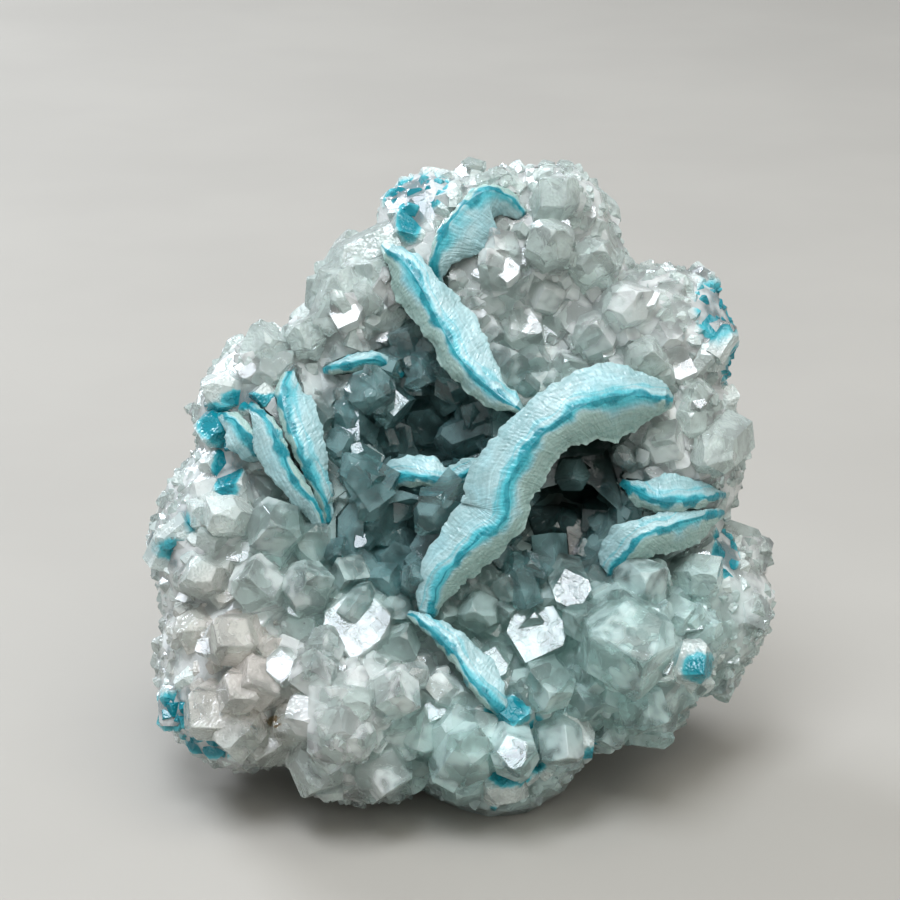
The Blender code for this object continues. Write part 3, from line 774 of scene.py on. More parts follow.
def point_shape(seed, leading_face=0.0, worn_edge=0.0):
    """A quartz point of radius 1 with its tip at the origin: a six-sided prism whose end is cut by
    six sloping faces, of which three are larger. A leading face is larger still by this much, and
    worn edges are this wide."""
    draw = random.Random(seed)
    deselect()
    bpy.ops.mesh.primitive_cone_add(
        vertices=6,
        radius1=1,
        radius2=PRISM_TOP,
        depth=PRISM_LENGTH,
        location=(0, 0, -PRISM_LENGTH / 2),
    )
    item = bpy.context.object
    bpy.ops.object.transform_apply(location=True)
    bpy.ops.object.mode_set(mode="EDIT")
    for side in range(6):
        turn = math.radians(60 * side + 30)
        normal = Vector((math.cos(turn), math.sin(turn), 0)) * math.sin(END_FACE_TILT)
        normal.z = math.cos(END_FACE_TILT)
        set_back = draw.uniform(*(SMALL_FACES if side % 2 else LARGE_FACES))
        if side == 0:
            set_back -= leading_face
        bpy.ops.mesh.select_all(action="SELECT")
        bpy.ops.mesh.bisect(
            plane_co=normal * set_back, plane_no=normal, use_fill=True, clear_outer=True
        )
    bpy.ops.object.mode_set(mode="OBJECT")
    if worn_edge:
        worn = item.modifiers.new("Worn edges", "BEVEL")
        worn.width = worn_edge
        worn.segments = 1
        apply_modifiers(item)
    mesh = item.data
    bpy.data.objects.remove(item)
    return mesh


def leaning(right, up):
    """The way a tip points: out of the face, turned to the right and up by these degrees."""
    return FACE_TURN @ Vector((math.tan(math.radians(right)), math.tan(math.radians(up)), 1))


def axes_to(direction, spin):
    """Turns the Z axis to the direction, spun about it."""
    turn = direction.normalized().to_track_quat("Z", "Y").to_matrix().to_4x4()
    return turn @ Matrix.Rotation(spin, 4, "Z")


def flashing_axes(swing):
    """Turns a point so that its first end face throws the window's light at the viewer."""
    flash = (OUTWARDS + window_direction()).normalized()
    below = (FACE_TURN @ Vector((0, -1, 0))).cross(flash).cross(flash) * -1
    below = (Matrix.Rotation(math.radians(swing), 3, flash) @ below).normalized()
    axis = flash * math.cos(END_FACE_TILT) + below * math.sin(END_FACE_TILT)
    side = (flash - axis * flash.dot(axis)).normalized()
    turn = Matrix((side, axis.cross(side), axis)).transposed()
    return turn.to_4x4() @ Matrix.Rotation(math.radians(-30), 4, "Z"), axis


class Druse:
    """Points growing on one piece, each an object of its own until they are joined."""

    def __init__(self, name, shapes, large, leading, seed):
        self.draw = random.Random(seed)
        self.shapes = shapes
        self.large = large
        self.leading = leading
        self.roots = np.zeros((0, 4))
        self.points = bpy.data.collections.new(name)
        bpy.context.scene.collection.children.link(self.points)
        low, high = LOADED_BOUNDS
        self.low = Vector(low) - Vector((1, 1, 0)) * PAST_BOX * MM
        self.high = Vector(high) + Vector((1, 1, 1)) * PAST_BOX * MM

    def grow(self, shape, root, turn, axis, radius, rise, slot):
        """Adds one point unless it would leave the specimen's box."""
        mesh = shape.copy()
        tip = root + axis * rise * MM
        mesh.transform(Matrix.Translation(tip) @ turn @ Matrix.Scale(radius * MM, 4))
        for vert in mesh.vertices:
            if any(not self.low[i] <= vert.co[i] <= self.high[i] for i in range(3)):
                bpy.data.meshes.remove(mesh)
                return False
        mesh.polygons.foreach_set("material_index", [slot] * len(mesh.polygons))
        self.points.objects.link(bpy.data.objects.new("point", mesh))
        self.roots = np.vstack((self.roots, (*root, radius)))
        return True

    def crowded(self, place, radius):
        """Tells whether a point there would stand on another one's root."""
        if not len(self.roots):
            return False
        apart = np.linalg.norm(self.roots[:, :3] - np.array(place), axis=1)
        return bool((apart < SCATTER_SPACING * MM * (self.roots[:, 3] + radius)).any())

    def place_large(self, tree, rows, slot_at):
        for across, up, radius, rise, right, lean_up in rows:
            root = ground_at(tree, across, up)
            axis = leaning(right, lean_up).normalized()
            turn = axes_to(axis, self.draw.uniform(0, math.tau))
            slot = slot_at(root, self.draw) or CLEAR
            self.grow(self.draw.choice(self.large), root, turn, axis, radius, rise, slot)

    def place_flashing(self, tree, rows, slot):
        for across, up, radius, rise, swing in rows:
            root = ground_at(tree, across, up)
            turn, axis = flashing_axes(swing)
            self.grow(self.draw.choice(self.leading), root, turn, axis, radius, rise, slot)

    def scatter(self, mesh, rows, slot_at, blades):
        """Small points all over the mesh, clear of those there are and of the blades."""
        draw = self.draw
        mesh.calc_loop_triangles()
        corners = [[mesh.vertices[i].co for i in t.vertices] for t in mesh.loop_triangles]
        areas = [t.area for t in mesh.loop_triangles]
        for most, least, largest, facing_from, facing_to, rim_from, rim_to, *rises in rows:
            grown = 0
            for a, b, c in draw.choices(corners, areas, k=most * SCATTER_TRIES):
                one, two = sorted((draw.random(), draw.random()))
                root = a * one + b * (two - one) + c * (1 - two)
                radius = draw.uniform(least, largest)
                normal = (b - a).cross(c - a).normalized()
                if not facing_from <= normal.dot(OUTWARDS) <= facing_to:
                    continue
                if not rim_from <= towards_rim(root) <= rim_to or root.z < SCATTER_FLOOR * MM:
                    continue
                if self.crowded(root, radius):
                    continue
                lean = Vector([draw.uniform(-SCATTER_LEAN, SCATTER_LEAN) for _ in range(3)])
                axis = (normal + lean).normalized()
                rise = radius * draw.uniform(*rises)
                clearance = BLADE_CLEARANCE * radius * MM
                if any(
                    blades.find_nearest(place, clearance)[0] is not None
                    for place in (root, root + axis * rise * MM)
                ):
                    continue
                turn = axes_to(axis, draw.uniform(0, math.tau))
                if draw.random() < GLINTING_SHARE and radius < LARGEST_GLINT:
                    glint_turn, glint_axis = flashing_axes(draw.uniform(-180, 180))
                    if glint_axis.dot(normal) > FLATTEST_GLINT:
                        turn, axis = glint_turn, glint_axis
                slot = slot_at(root, draw)
                if slot is None:
                    continue
                grown += self.grow(draw.choice(self.shapes), root, turn, axis, radius, rise, slot)
                if grown == most:
                    break

    def join_to(self, item):
        """Grows the points together with the piece, as one closed shape."""
        union = item.modifiers.new("Grown together", "BOOLEAN")
        union.operation = "UNION"
        union.operand_type = "COLLECTION"
        union.collection = self.points
        union.solver = "MANIFOLD"
        apply_modifiers(item)
        keep_outside(item)
        for point in list(self.points.objects):
            bpy.data.objects.remove(point)
        bpy.data.collections.remove(self.points)


def towards_rim(place):
    """How far from the middle of the face a place is, where 1 is the rim."""
    across, up, _ = FACE_INVERSE @ place
    return math.hypot((across - RIM_MIDDLE[0]) / RIM_SIZE[0], (up - RIM_MIDDLE[1]) / RIM_SIZE[1])


def reach(place, rows):
    """How far a place is from the nearest of the ellipsoids' middles, where 1 is its surface."""
    here = FACE_INVERSE @ place
    return min(math.hypot(*((here[i] - row[i]) / row[i + 3] for i in range(3))) for row in rows)


CLEAR, MILKY, STAINED = 0, 1, 2


def quartz_slot(place, draw):
    """Clear quartz in the middle of the face, milky quartz at the rim and behind, and turquoise in
    places."""
    if reach(place, BARE_PLACES) < 1:
        return None
    if reach(place, STAINS) < STAIN_REACH:
        return STAINED
    depth = (FACE_INVERSE @ place).z
    milkiness = towards_rim(place) + MILKY_BEHIND * max(0, -FACE_DEPTH - depth)
    if reach(place, MILKY_PLACES) < 1:
        milkiness += MILKY_SOONER
    milkiness += draw.uniform(-MILKY_RAGGED, MILKY_RAGGED)
    return MILKY if milkiness > MILKY_FROM else CLEAR


# What is kept on the quartz for its colours: the places, and how far from their middles the colour
# starts to fade and is gone, where 1 is the ellipsoid's surface.
QUARTZ_MASKS = {
    "deep": (DEEP_PLACES, 0.7, 1.35),
    # painted shade, darkest in the hollow's depths
    "dark": (DARK_PLACES, 0.75, 1.2),
    "tinted": (TINTED_PLACES, 0.6, 1.25),
    "warm": (WARM_PLACES, 0.5, 1.25),
    # painted shade in the hollow
    "hollow": (HOLLOWS, 0.85, 1.3),
    "stained": (STAINS, 0.7, 1.2),
}
# How far the colours' edges wander, over what lengths, and the seed of the noise that they follow.
# Without it that noise would be another one each time.
MASK_WANDER = 1.5
MASK_LUMPS = 3.0
MASK_SEED = 1


def keep_masks(mesh):
    """Keeps at each of the mesh's points how much it has of each colour, with wandering edges."""
    noise.seed_set(MASK_SEED)
    here = []
    for vert in mesh.vertices:
        wander = noise.noise_vector(vert.co / (MASK_LUMPS * MM)) * MASK_WANDER * MM
        here.append(FACE_INVERSE @ (vert.co + wander))
    here = np.array(here)
    for name, (rows, inner, outer) in QUARTZ_MASKS.items():
        rows = np.array(rows, float)
        apart = [np.linalg.norm((here - row[:3]) / row[3:], axis=1) for row in rows]
        share = np.clip((np.min(apart, axis=0) - inner) / (outer - inner), 0, 1)
        layer = mesh.attributes.new(name, "FLOAT", "POINT")
        layer.data.foreach_set("value", 1 - share * share * (3 - 2 * share))


def hollow_slot(place, draw):
    """Clear quartz, but nothing where the hollow is deepest."""
    bare = reach(place, DARK_PLACES) < DARK_REACH or reach(place, BARE_PLACES) < 1
    return None if bare else CLEAR


def along_curve(rows, step):
    """Stations at even steps on a smooth curve through the rows."""
    rows = [np.array(row, float) for row in rows]
    rows = [2 * rows[0] - rows[1], *rows, 2 * rows[-1] - rows[-2]]
    stations = []
    for before, start, end, after in zip(rows, rows[1:], rows[2:], rows[3:]):
        count = max(2, round(np.linalg.norm((end - start)[:3]) / step))
        for number in range(count):
            t = number / count
            bend = (2 * before - 5 * start + 4 * end - after) * t * t
            bend += (3 * start - before - 3 * end + after) * t**3
            stations.append(start + 0.5 * ((end - before) * t + bend))
    stations.append(rows[-2])
    return stations


def ripple(place, size, seed):
    """Smooth noise from -1 to 1 over lengths of this size, in millimetres."""
    return noise.noise(Vector(place) / size + Vector((seed, 0, 0)))


def blade_section(station, along, tree, pale, seed):
    """One closed section of a blade: its corners, how far each lies from the seam and down the skirt,
    and whether it is on the pale side. Distances are in millimetres, and positive to the left of the
    seam."""
    across, up, out, *widths = station
    seam = Vector((across, up))
    aside = Vector((-along.y, along.x))
    ground = LOWEST_GROUND
    for side, width in zip((1, -1), widths):
        beside = seam + aside * side * (width + GROUND_ASIDE)
        place = ground_at(tree, *beside)
        if place is not None:
            ground = max(ground, (FACE_INVERSE @ place).z)
    deepest = out - 0.5 * max(widths) - SKIRT[-1][1] - ROOT_BELOW_SKIRT
    root = min(max(ground - BLADE_ROOT, out - DEEPEST_BLADE), deepest)
    halves = []
    for side, width in zip((1, -1), widths):
        here = (across + EDGES_APART * side, up, 0)
        jag = sum(depth * ripple(here, size, seed) for depth, size in JAGS) * min(1, width)
        fall = PALE_DROP if side == pale else SHADED_DROP
        breadth = min(1, width / FULL_HALO)
        half = []
        for step in range(TOP_STEPS + 1):
            share = step / TOP_STEPS
            drop = fall * width * (STRAIGHT_SHARE * share + (1 - STRAIGHT_SHARE) * share**2)
            along_ridge = ALONG_RIDGES * (across + up)
            ridge = RIDGES[0] * ripple((share * width, along_ridge, side), RIDGES[1], seed)
            wave = WAVES[0] * ripple((across + share * width, up, side), WAVES[1], seed) * share
            far = share * width + max(jag, NARROWEST_SIDE - width) * share**4
            half.append((far, out - drop + ridge * (share > 0) + wave, far, 0))
        edge, height = half[-1][0], half[-1][1]
        for outward, drop in SKIRT:
            rough = SKIRT_LUMPS[0] * ripple((across, up, side * 5 + drop), SKIRT_LUMPS[1], seed)
            half.append((edge + outward * width + rough, height - drop, edge, drop))
        half.append((width * ROOT_NARROWING, root, edge, SKIRT[-1][1] + ROOT_MASK))
        halves.append(
            [
                (side * offset, level, side * far, down, side == pale, breadth)
                for offset, level, far, down in half
            ]
        )
    ring = halves[0][::-1] + halves[1][1:]
    places = [FACE @ Vector((*(seam + aside * row[0]), row[1])) for row in ring]
    return places, [row[2:] for row in ring]


def blade_mesh(name, rows, tree, seed):
    """A blade lofted through its sections. The distances from the seam and down the skirt, and the
    pale side, are kept on its points for the colours, which paint shade on the other side and on the
    skirt."""
    draw = random.Random(seed)
    pale = -1 if name in PALE_ON_THE_RIGHT else 1
    stations = along_curve(rows, BLADE_STEP)
    for end, inner in ((0, 1), (-1, -2)):
        beyond = (stations[end] - stations[inner])[:3]
        beyond *= BLADE_END / np.linalg.norm(beyond[:2])
        tip = stations[end].copy()
        tip[:3] += beyond - np.array((0, 0, 1.0))
        tip[3:] *= END_NARROWING
        stations.insert(0 if end == 0 else len(stations), tip)
    flat = [Vector(station[:2]) for station in stations]
    bm = bmesh.new()
    layers = [bm.verts.layers.float.new(kind) for kind in BLADE_MASKS]
    rings = []
    last = len(flat) - 1
    for number, station in enumerate(stations):
        before, after = max(number - TURNING_SECTIONS, 0), min(number + TURNING_SECTIONS, last)
        along = (flat[after] - flat[before]).normalized()
        places, values = blade_section(station, along, tree, pale, seed)
        ring = []
        for place, row in zip(places, values):
            sugar = SUGAR * MM if abs(row[0]) > SUGAR_FROM_SEAM else 0
            vert = bm.verts.new(place + Vector([draw.uniform(-sugar, sugar) for _ in range(3)]))
            for layer, value in zip(layers, row):
                vert[layer] = value
            ring.append(vert)
        rings.append(ring)
    for ring, following in zip(rings, rings[1:]):
        for corner in range(len(ring)):
            after = (corner + 1) % len(ring)
            bm.faces.new((ring[corner], ring[after], following[after], following[corner]))
    bm.faces.new(rings[0])
    bm.faces.new(rings[-1])
    bmesh.ops.recalc_face_normals(bm, faces=bm.faces)
    mesh = bpy.data.meshes.new(name)
    bm.to_mesh(mesh)
    bm.free()
    return mesh


# Materials


def drifting(tree, position, size, detail, low, high, to_low=0.0, to_high=1.0):
    """A value that drifts between two others over lengths of this size."""
    clouds = add_node(
        tree, "TexNoise", {"Vector": position, "Scale": 1 / (size * MM), "Detail": detail, **NOISE}
    )
    return add_node(tree, "MapRange", (clouds, low, high, to_low, to_high), **SMOOTH)


def coated(tree, colour, *coats):
    """The colour under coats, each of which lies where the mesh has the mask of its name."""
    for mask, coat in coats:
        share = add_node(tree, "Attribute", attribute_name=mask).outputs["Fac"]
        colour = add_node(tree, "Mix", {0: share, 6: colour, 7: coat}, **COLOURS)
    return colour


def face_blobs(tree, position, rows, edge_from, edge_to):
    """1 inside any of the ellipsoids on the face and 0 outside, fading from edge_from to edge_to."""
    nearest = None
    for across, up, out, *radii in rows:
        places = {
            "Vector": position,
            "Location": FACE @ Vector((across, up, out)),
            "Rotation": FACE_TURN.to_euler(),
            "Scale": Vector(radii) * MM,
        }
        inside = add_node(tree, "Mapping", places, vector_type="TEXTURE")
        apart = add_node(tree, "VectorMath", (inside,), operation="LENGTH")
        if nearest is not None:
            apart = add_node(tree, "Math", (nearest, apart), operation="MINIMUM")
        nearest = apart
    return add_node(tree, "MapRange", (nearest, edge_from, edge_to, 1.0, 0.0), **SMOOTH)


def displaced(tree, position, size, strength):
    """The position, moved about by noise, so that edges drawn from it are ragged."""
    lumps = add_node(
        tree, "TexNoise", {"Vector": position, "Scale": 1 / (size * MM), "Detail": 3}
    ).outputs["Color"]
    centred = add_node(tree, "VectorMath", (lumps, MIDDLE_OF_NOISE), operation="SUBTRACT")
    scaled = add_node(tree, "VectorMath", {0: centred, "Scale": strength * MM}, operation="SCALE")
    return add_node(tree, "VectorMath", (position, scaled), operation="ADD")


def speck(tree, position, across, up, radius):
    """1 at a small ragged spot on the face, and 0 away from it."""
    middle, radius = FACE @ Vector((across, up, 0)), radius * MM
    apart = add_node(tree, "VectorMath", (position, middle), operation="SUBTRACT")
    around = add_node(tree, "VectorMath", (apart, OUTWARDS), operation="CROSS_PRODUCT")
    far = add_node(tree, "VectorMath", (around,), operation="LENGTH")
    raggedness = SPECK_RAGGED * radius
    ragged = drifting(tree, position, *SPECK_NOISE, -raggedness, raggedness)
    edge = add_node(tree, "Math", (far, ragged), operation="ADD")
    fade = [share * radius for share in SPECK_FADE]
    return add_node(tree, "MapRange", (edge, *fade, 1.0, 0.0), **SMOOTH)


def heart_material(quartz, blades):
    """Milky quartz, massive: countless tiny fluid bubbles scatter the light, so it is bright, soft
    and without gloss. It is in grains a few millimetres across, some milky and some clear and so
    darker, which show through the clear points that grew on it."""
    made, tree = new_material("milky_massive_quartz")
    position = add_node(tree, "TexCoord").outputs["Object"]
    # Painted light and shade: blue green where light comes through the hollow, darker in the hollow
    # and darkest in its depths, as shade.
    colour = coated(
        tree,
        quartz.rim_colour,
        ("deep", quartz.face_colour),
        ("hollow", quartz.hollow_shade_colour),
        ("dark", quartz.depth_shade_colour),
    )
    cells = add_node(
        tree, "TexVoronoi", {"Vector": position, "Scale": 1 / (GRAIN_SIZE * MM)}
    ).outputs["Color"]
    grain = add_node(tree, "SeparateColor", (cells,))
    milk = add_node(
        tree, "TexNoise", {"Vector": position, "Scale": 1 / (MILK_SIZE * MM), "Detail": 1, **NOISE}
    )
    shade = add_node(tree, "Math", (grain, milk), operation="MULTIPLY")
    shade = add_node(tree, "MapRange", (shade, *GRAIN_SHADES), **SMOOTH)
    colour = add_node(tree, "VectorMath", {0: colour, "Scale": shade}, operation="SCALE")
    colour = coated(tree, colour, ("stained", blades.seam_colour))
    shader = add_node(tree, "BsdfPrincipled", {"Base Color": colour, "Roughness": 0.7})
    add_node(tree, "OutputMaterial", {"Surface": shader})
    return made


def point_material(name, colour_at, absorbs=False):
    """The faces of quartz points: flat and bright where they grew last, with low steps, and dusted
    with tiny crystals in patches. What light goes through takes on the colour that isn't absorbed."""
    made, tree = new_material(name)
    clear, roughness, bump_strength, dust_height = POINT_LOOKS[name]
    position = add_node(tree, "TexCoord").outputs["Object"]
    veils = drifting(tree, position, *VEILS)
    colour, stained = colour_at(tree, position, veils)
    through = add_node(tree, "MapRange", (veils, 0.0, 1.0, *clear), **SMOOTH)
    if stained is not None:
        share = add_node(tree, "MapRange", (stained, *OPAQUE_STAINS), **SMOOTH)
        through = add_node(tree, "Math", (through, share), operation="MULTIPLY")
    steps, crystals = (
        add_node(
            tree,
            "TexNoise",
            {"Vector": position, "Scale": 1 / (size * MM), "Detail": detail, **NOISE},
        )
        for size, detail in (STEPS, DUST)
    )
    etched = add_node(tree, "MapRange", (steps, *ETCHED, *roughness), **SMOOTH)
    dusted = add_node(tree, "MapRange", (veils, *DUSTED, 0.0, dust_height), **SMOOTH)
    dust = add_node(tree, "Math", (crystals, dusted), operation="MULTIPLY")
    raised = add_node(tree, "MapRange", (steps, *STEP_EDGE), **SMOOTH)
    height = add_node(tree, "Math", (raised, dust), operation="ADD")
    bump = add_node(
        tree, "Bump", {"Height": height, "Strength": bump_strength, "Distance": STEP_HEIGHT * MM}
    )
    shader = add_node(
        tree,
        "BsdfPrincipled",
        {
            "Base Color": colour,
            "Roughness": etched,
            "IOR": QUARTZ_IOR,
            "Transmission Weight": through,
            "Normal": bump,
        },
    )
    ends = {"Surface": shader}
    if absorbs:
        ends["Volume"] = add_node(tree, "VolumeAbsorption", (linear(PASSING_COLOUR), ABSORPTION))
    add_node(tree, "OutputMaterial", ends)
    return made


def clear_material(name, quartz, paler, darker):
    """Rock crystal, grown from solution: clear, with bright flat faces, and a faint blue green from
    what is dissolved in it."""
    # Painted shade: points in the hollow's depths take its darkest colour.
    coats = ("tinted", quartz.tint_colour), ("deep", darker), ("dark", quartz.depth_shade_colour)

    def colour_at(tree, position, veils):
        return coated(tree, paler, *coats), None

    return point_material(name, colour_at, absorbs=True)


def milky_material(quartz):
    """Milky quartz points: the same bright faces over a cloudy inside that lets little through."""

    def colour_at(tree, position, veils):
        colour = add_node(
            tree, "Mix", {0: veils, 6: quartz.rim_colour, 7: quartz.veil_colour}, **COLOURS
        )
        colour = coated(tree, colour, ("tinted", quartz.tint_colour), ("warm", quartz.warm_colour))
        rusty = speck(tree, position, *RUST_SPECK)
        rust = {0: rusty, 6: colour, 7: quartz.rust_colour}
        return add_node(tree, "Mix", rust, **COLOURS), None

    return point_material("milky_quartz_points", colour_at)


def stained_material(quartz, blades):
    """Milky quartz points with turquoise in them: strong in the middle of each stain and paler where
    it runs out between the quartz grains."""

    def colour_at(tree, position, veils):
        ragged = displaced(tree, position, *STAIN_RAGGED)
        stained = face_blobs(tree, ragged, STAINS, *STAIN_FADE)
        colour = quartz.rim_colour
        for fade, coat in ((PALE_STAIN, blades.halo_colour), (DEEP_STAIN, blades.seam_colour)):
            share = add_node(tree, "MapRange", (stained, *fade), **SMOOTH)
            colour = add_node(tree, "Mix", {0: share, 6: colour, 7: coat}, **COLOURS)
        return colour, stained

    return point_material("turquoise_stained_quartz", colour_at)


def blade_material(blades):
    """Turquoise in sugary quartz: a waxy blue seam in the middle of the blade, which fades through
    pale blue into frosted quartz in layers. The flank away from the light and the skirt below the
    edges are painted greyer and greener, as shade."""
    made, tree = new_material("turquoise_seamed_quartz")
    position = add_node(tree, "TexCoord").outputs["Object"]
    from_seam, down_skirt, pale, breadth = (
        add_node(tree, "Attribute", attribute_name=name).outputs["Fac"]
        for name in BLADE_MASKS
    )
    wander, swell, spread, band, tone, frost = (
        drifting(tree, position, *row) for row in BLADE_NOISE
    )
    # How far from the seam each place is, in millimetres, seen by its core, its halo and its twin.
    moved = add_node(tree, "Math", (from_seam, wander), operation="ADD")
    far = add_node(tree, "Math", (moved,), operation="ABSOLUTE")
    core = add_node(tree, "Math", (far, swell), operation="DIVIDE")
    spread = add_node(tree, "Math", (spread, breadth), operation="MULTIPLY")
    halo = add_node(tree, "Math", (far, spread), operation="DIVIDE")
    twin = add_node(tree, "Math", (moved, SECOND_SEAM), operation="SUBTRACT")
    twin = add_node(tree, "Math", (twin,), operation="ABSOLUTE")
    twin = add_node(tree, "Math", (twin, swell), operation="DIVIDE")
    half = blades.seam_width / MM
    shares = {
        name: add_node(
            tree, "MapRange", (value, fade_from * half, fade_to * half, 0.0, most), **SMOOTH
        )
        for name, value, (fade_from, fade_to, most) in (
            ("band", halo, HALO_FADE),
            ("outer", halo, OUTER_FADE),
            ("shaded_flank", halo, FLANK_FADE),
            ("body", core, SEAM_FADE),
        )
    }
    # Painted shade: the side away from the light and the skirt below the edges take the darker flank
    # colour.
    shaded = add_node(tree, "MapRange", (pale, *SHADED_SIDE, 1.0, 0.0), **SMOOTH)
    shaded_flank = add_node(tree, "Math", (shares["shaded_flank"], shaded), operation="MULTIPLY")
    skirt = add_node(tree, "MapRange", (down_skirt, *SKIRT_FADE), **SMOOTH)
    shaded_flank = add_node(tree, "Math", (shaded_flank, skirt), operation="MAXIMUM")
    second = add_node(tree, "MapRange", (twin, *SECOND_FADE), **SMOOTH)
    seam, bands = (
        add_node(tree, "Mix", {0: share, 6: first, 7: other}, **COLOURS)
        for share, first, other in (
            (tone, blades.seam_colour, blades.pale_seam_colour),
            (band, blades.band_colour, blades.cool_band_colour),
        )
    )
    colour = blades.halo_colour
    for share, coat in (
        (shares["band"], bands),
        (shares["outer"], blades.outer_colour),
        (shaded_flank, blades.shaded_flank_colour),
        (second, blades.halo_colour),
    ):
        colour = add_node(tree, "Mix", {0: share, 6: colour, 7: coat}, **COLOURS)
    colour = add_node(tree, "Mix", {0: shares["body"], 6: seam, 7: colour}, **COLOURS)
    along = add_node(tree, "CombineXYZ", (moved,))
    layers = add_node(tree, "TexNoise", {"Vector": along, **LAYERS})
    shade = add_node(tree, "MapRange", (layers, *LAYER_SHADES), **SMOOTH)
    colour = add_node(tree, "VectorMath", {0: colour, "Scale": shade}, operation="SCALE")
    sugar = add_node(
        tree, "TexNoise", {"Vector": position, "Scale": 1 / (SUGAR_SIZE * MM), "Detail": 2, **NOISE}
    )
    bump = add_node(
        tree, "Bump", {"Height": sugar, "Strength": 0.45, "Distance": SUGAR_HEIGHT * MM}
    )
    shader = add_node(
        tree,
        "BsdfPrincipled",
        {
            "Base Color": colour,
            "Roughness": frost,
            "IOR": 1.55,
            "Subsurface Weight": 0.35,
            "Subsurface Radius": (0.8, 1.0, 1.0),
            "Subsurface Scale": 1.2 * MM,
            "Normal": bump,
        },
    )
    add_node(tree, "OutputMaterial", {"Surface": shader})
    return made


def floor_material(stage):
    """Backing paper, pressed from pulp: matt, pale and warm, and faintly mottled by its fibres."""
    made, tree = new_material("matt_backing_paper")
    position = add_node(tree, "TexCoord").outputs["Object"]
    mottle = drifting(tree, position, *PAPER_NOISE)
    paler = [min(1, channel * PAPER_LIGHTENING) for channel in stage.floor_colour]
    colour = add_node(tree, "Mix", {0: mottle, 6: stage.floor_colour, 7: paler}, **COLOURS)
    shader = add_node(tree, "BsdfPrincipled", {"Base Color": colour, "Roughness": 0.85})
    add_node(tree, "OutputMaterial", {"Surface": shader})
    return made


# Operators


def point_shapes():
    """The few shapes that all points are copies of: small ones, large ones with worn edges, and ones
    with a leading face too."""
    plain = [point_shape(seed) for seed in range(POINT_SHAPES)]
    large = [point_shape(LARGE_SEED + seed, 0.0, WORN_EDGE) for seed in range(POINT_SHAPES)]
    leading = [point_shape(seed, LEADING_FACE, WORN_EDGE) for seed in range(LEADING_SHAPES)]
    return plain, large, leading


def blade_nodes():
    return [name for name in FRAME["nodes"] if name.endswith("_blade")]


class TURQUOISE_OT_heart(bpy.types.Operator):
    """Make the milky quartz under the points"""

    bl_idname = "turquoise.heart"
    bl_label = "Milky heart"

    def execute(self, context):
        settings = context.scene.turquoise_quartz
        heart = node_copy("milky_heart", "quartz_matrix", "hollow_crust")
        remesh = heart.modifiers.new("Run together", "REMESH")
        remesh.mode = "VOXEL"
        remesh.voxel_size = HEART_VOXEL * MM
        soften = heart.modifiers.new("Soften", "SMOOTH")
        soften.iterations = HEART_SOFTENING
        sink = heart.modifiers.new("Sink", "DISPLACE")
        sink.strength = -settings.heart_depth
        sink.mid_level = 0
        apply_modifiers(heart)
        keep_outside(heart)
        heart.data.shade_smooth()
        keep_masks(heart.data)
        wear(heart, heart_material(settings, context.scene.turquoise_blades))
        place_piece(heart)
        return {"FINISHED"}


class TURQUOISE_OT_druse(bpy.types.Operator):
    """Grow quartz points over the body"""

    bl_idname = "turquoise.druse"
    bl_label = "Quartz druse"

    def execute(self, context):
        settings = context.scene.turquoise_quartz
        piece = node_copy("quartz_druse", "quartz_matrix")
        tree = surface_of(piece)
        blades = node_surface(*blade_nodes())
        draw = random.Random(FACES_SEED)
        for face in piece.data.polygons:
            corners = [piece.data.vertices[i].co for i in face.vertices]
            stained = min(reach(place, STAINS) for place in (face.center, *corners)) < STAIN_REACH
            slot = STAINED if stained else quartz_slot(face.center, draw)
            face.material_index = slot or CLEAR
        colours = settings.clear_colour, settings.clear_deep_colour
        wear(
            piece,
            clear_material("clear_rock_crystal", settings, *colours),
            milky_material(settings),
            stained_material(settings, context.scene.turquoise_blades),
        )
        druse = Druse("druse_points", *point_shapes(), seed=DRUSE_SEED)
        druse.place_flashing(tree, FLASHING_POINTS, CLEAR)
        druse.place_large(tree, CLEAR_POINTS, quartz_slot)
        for rows in (FACE_SCATTER, RIM_SCATTER, BACK_SCATTER):
            druse.scatter(piece.data, rows, quartz_slot, blades)
        druse.join_to(piece)
        keep_masks(piece.data)
        place_piece(piece, "quartz_matrix")
        return {"FINISHED"}


class TURQUOISE_OT_hollow(bpy.types.Operator):
    """Grow clear points in the hollow"""

    bl_idname = "turquoise.hollow"
    bl_label = "Hollow's crust"

    def execute(self, context):
        settings = context.scene.turquoise_quartz
        piece = node_copy("hollow_druse", "hollow_crust")
        blades = node_surface(*blade_nodes())
        # The hollow's points are clear rock crystal in darker colours, painted as shade.
        colours = settings.shaded_hollow_colour, settings.shaded_hollow_deep_colour
        wear(piece, clear_material("shaded_hollow_rock_crystal", settings, *colours))
        druse = Druse("hollow_points", *point_shapes(), seed=HOLLOW_SEED)
        druse.scatter(piece.data, HOLLOW_SCATTER, hollow_slot, blades)
        druse.join_to(piece)
        keep_masks(piece.data)
        place_piece(piece, "hollow_crust")
        return {"FINISHED"}


class TURQUOISE_OT_blades(bpy.types.Operator):
    """Make the blades with their turquoise seams"""

    bl_idname = "turquoise.blades"
    bl_label = "Turquoise blades"

    def execute(self, context):
        tree = node_surface("quartz_matrix", "hollow_crust")
        look = blade_material(context.scene.turquoise_blades)
        for seed, (name, rows) in enumerate(BLADES.items()):
            mesh = blade_mesh(name, rows, tree, seed * SEED_STEP)
            piece = bpy.data.objects.new(name + "_quartz", mesh)
            context.scene.collection.objects.link(piece)
            wear(piece, look)
            place_piece(piece, name)
        return {"FINISHED"}


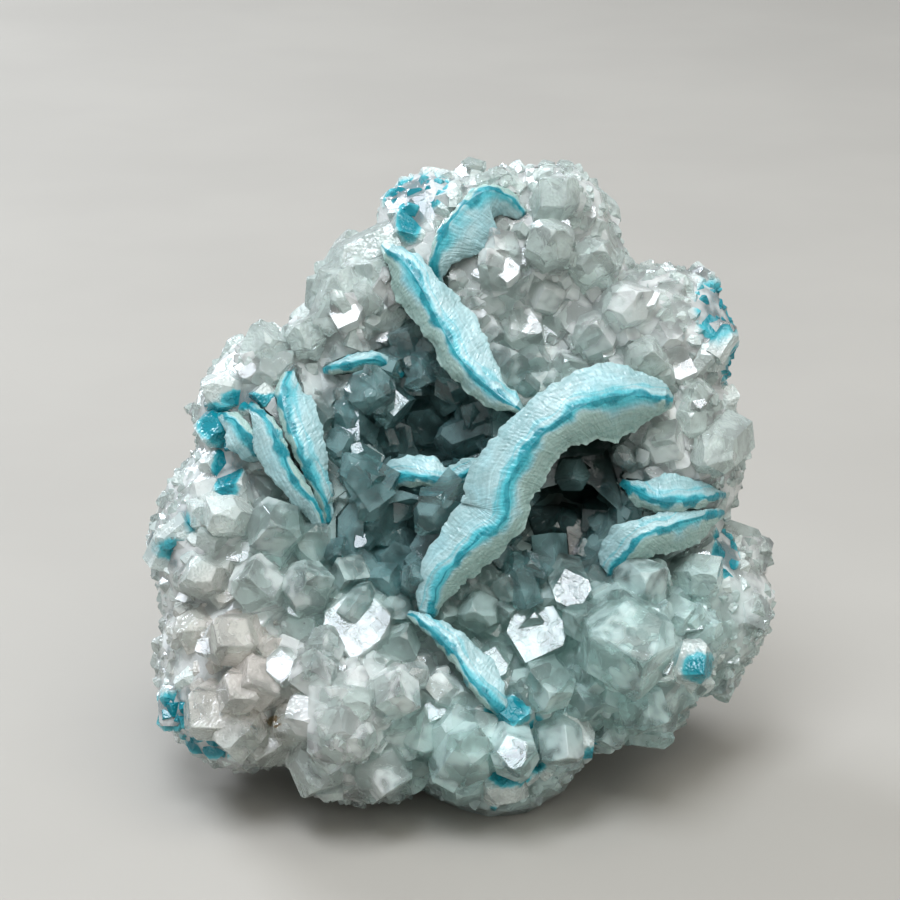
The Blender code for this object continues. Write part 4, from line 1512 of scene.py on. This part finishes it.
def soft_light(name, direction, distance, size, power, colour):
    """A square light in that direction from the specimen, turned to it."""
    direction = Vector(direction)
    light = bpy.data.lights.new(name, "AREA")
    light.energy = power
    light.size = size
    light.color = colour
    item = bpy.data.objects.new(name, light)
    bpy.context.scene.collection.objects.link(item)
    item.location = FACE.translation + direction.normalized() * distance
    item.rotation_euler = direction.to_track_quat("Z", "Y").to_euler()


class TURQUOISE_OT_stage(bpy.types.Operator):
    """Set the floor, the lights and the camera"""

    bl_idname = "turquoise.stage"
    bl_label = "Stage"

    def execute(self, context):
        stage = context.scene.turquoise_stage
        deselect()
        bpy.ops.mesh.primitive_plane_add(size=FLOOR_WIDTH)
        floor = context.object
        floor.name = "floor"
        wear(floor, floor_material(stage))
        warm, cool = linear(WARM_LIGHT), linear(COOL_LIGHT)
        soft_light("window", window_direction(), *WINDOW_LIGHT, stage.window_power, cool)
        for name, direction, distance, size, share in FILL_LIGHTS:
            soft_light(name, direction, distance, size, stage.window_power * share, warm)
        soft_light("back", *BACK_LIGHT, stage.rim_power, cool)
        world = bpy.data.worlds.new("studio")
        context.scene.world = world
        world.use_nodes = True
        sky = world.node_tree.nodes["Background"]
        sky.inputs["Color"].default_value = (*linear(SKY_COLOUR), 1)
        sky.inputs["Strength"].default_value = SKY_STRENGTH
        context.scene.view_settings.view_transform = "Standard"
        camera = bpy.data.cameras.new("camera")
        camera.lens = CAMERA_LENS
        camera.sensor_width = SENSOR_WIDTH
        camera.clip_start = NEAREST_SEEN
        item = bpy.data.objects.new("camera", camera)
        context.scene.collection.objects.link(item)
        item.matrix_world = Matrix.Translation(FACE @ CAMERA_PLACE) @ FACE_TURN.to_4x4()
        context.scene.camera = item
        return {"FINISHED"}


class TURQUOISE_PT_panel(bpy.types.Panel):
    """The pieces of the specimen"""

    bl_idname = "TURQUOISE_PT_panel"
    bl_label = "Turquoise on Quartz"
    bl_space_type = "VIEW_3D"
    bl_region_type = "UI"
    bl_category = "Turquoise"

    def draw(self, context):
        for operator in OPERATORS:
            self.layout.operator(operator.bl_idname)


SETTINGS = (
    ("turquoise_quartz", QuartzSettings),
    ("turquoise_blades", BladeSettings),
    ("turquoise_stage", StageSettings),
)
OPERATORS = (
    TURQUOISE_OT_heart,
    TURQUOISE_OT_druse,
    TURQUOISE_OT_hollow,
    TURQUOISE_OT_blades,
    TURQUOISE_OT_stage,
)
CLASSES = (*(kind for _, kind in SETTINGS), *OPERATORS, TURQUOISE_PT_panel)


def register():
    for kind in CLASSES:
        bpy.utils.register_class(kind)
    for name, kind in SETTINGS:
        setattr(bpy.types.Scene, name, PointerProperty(type=kind))


def unregister():
    for name, _ in SETTINGS:
        delattr(bpy.types.Scene, name)
    for kind in reversed(CLASSES):
        bpy.utils.unregister_class(kind)


def main():
    register()
    for operator in OPERATORS:
        group, name = operator.bl_idname.split(".")
        getattr(getattr(bpy.ops, group), name)()


if __name__ == "__main__":
    main()
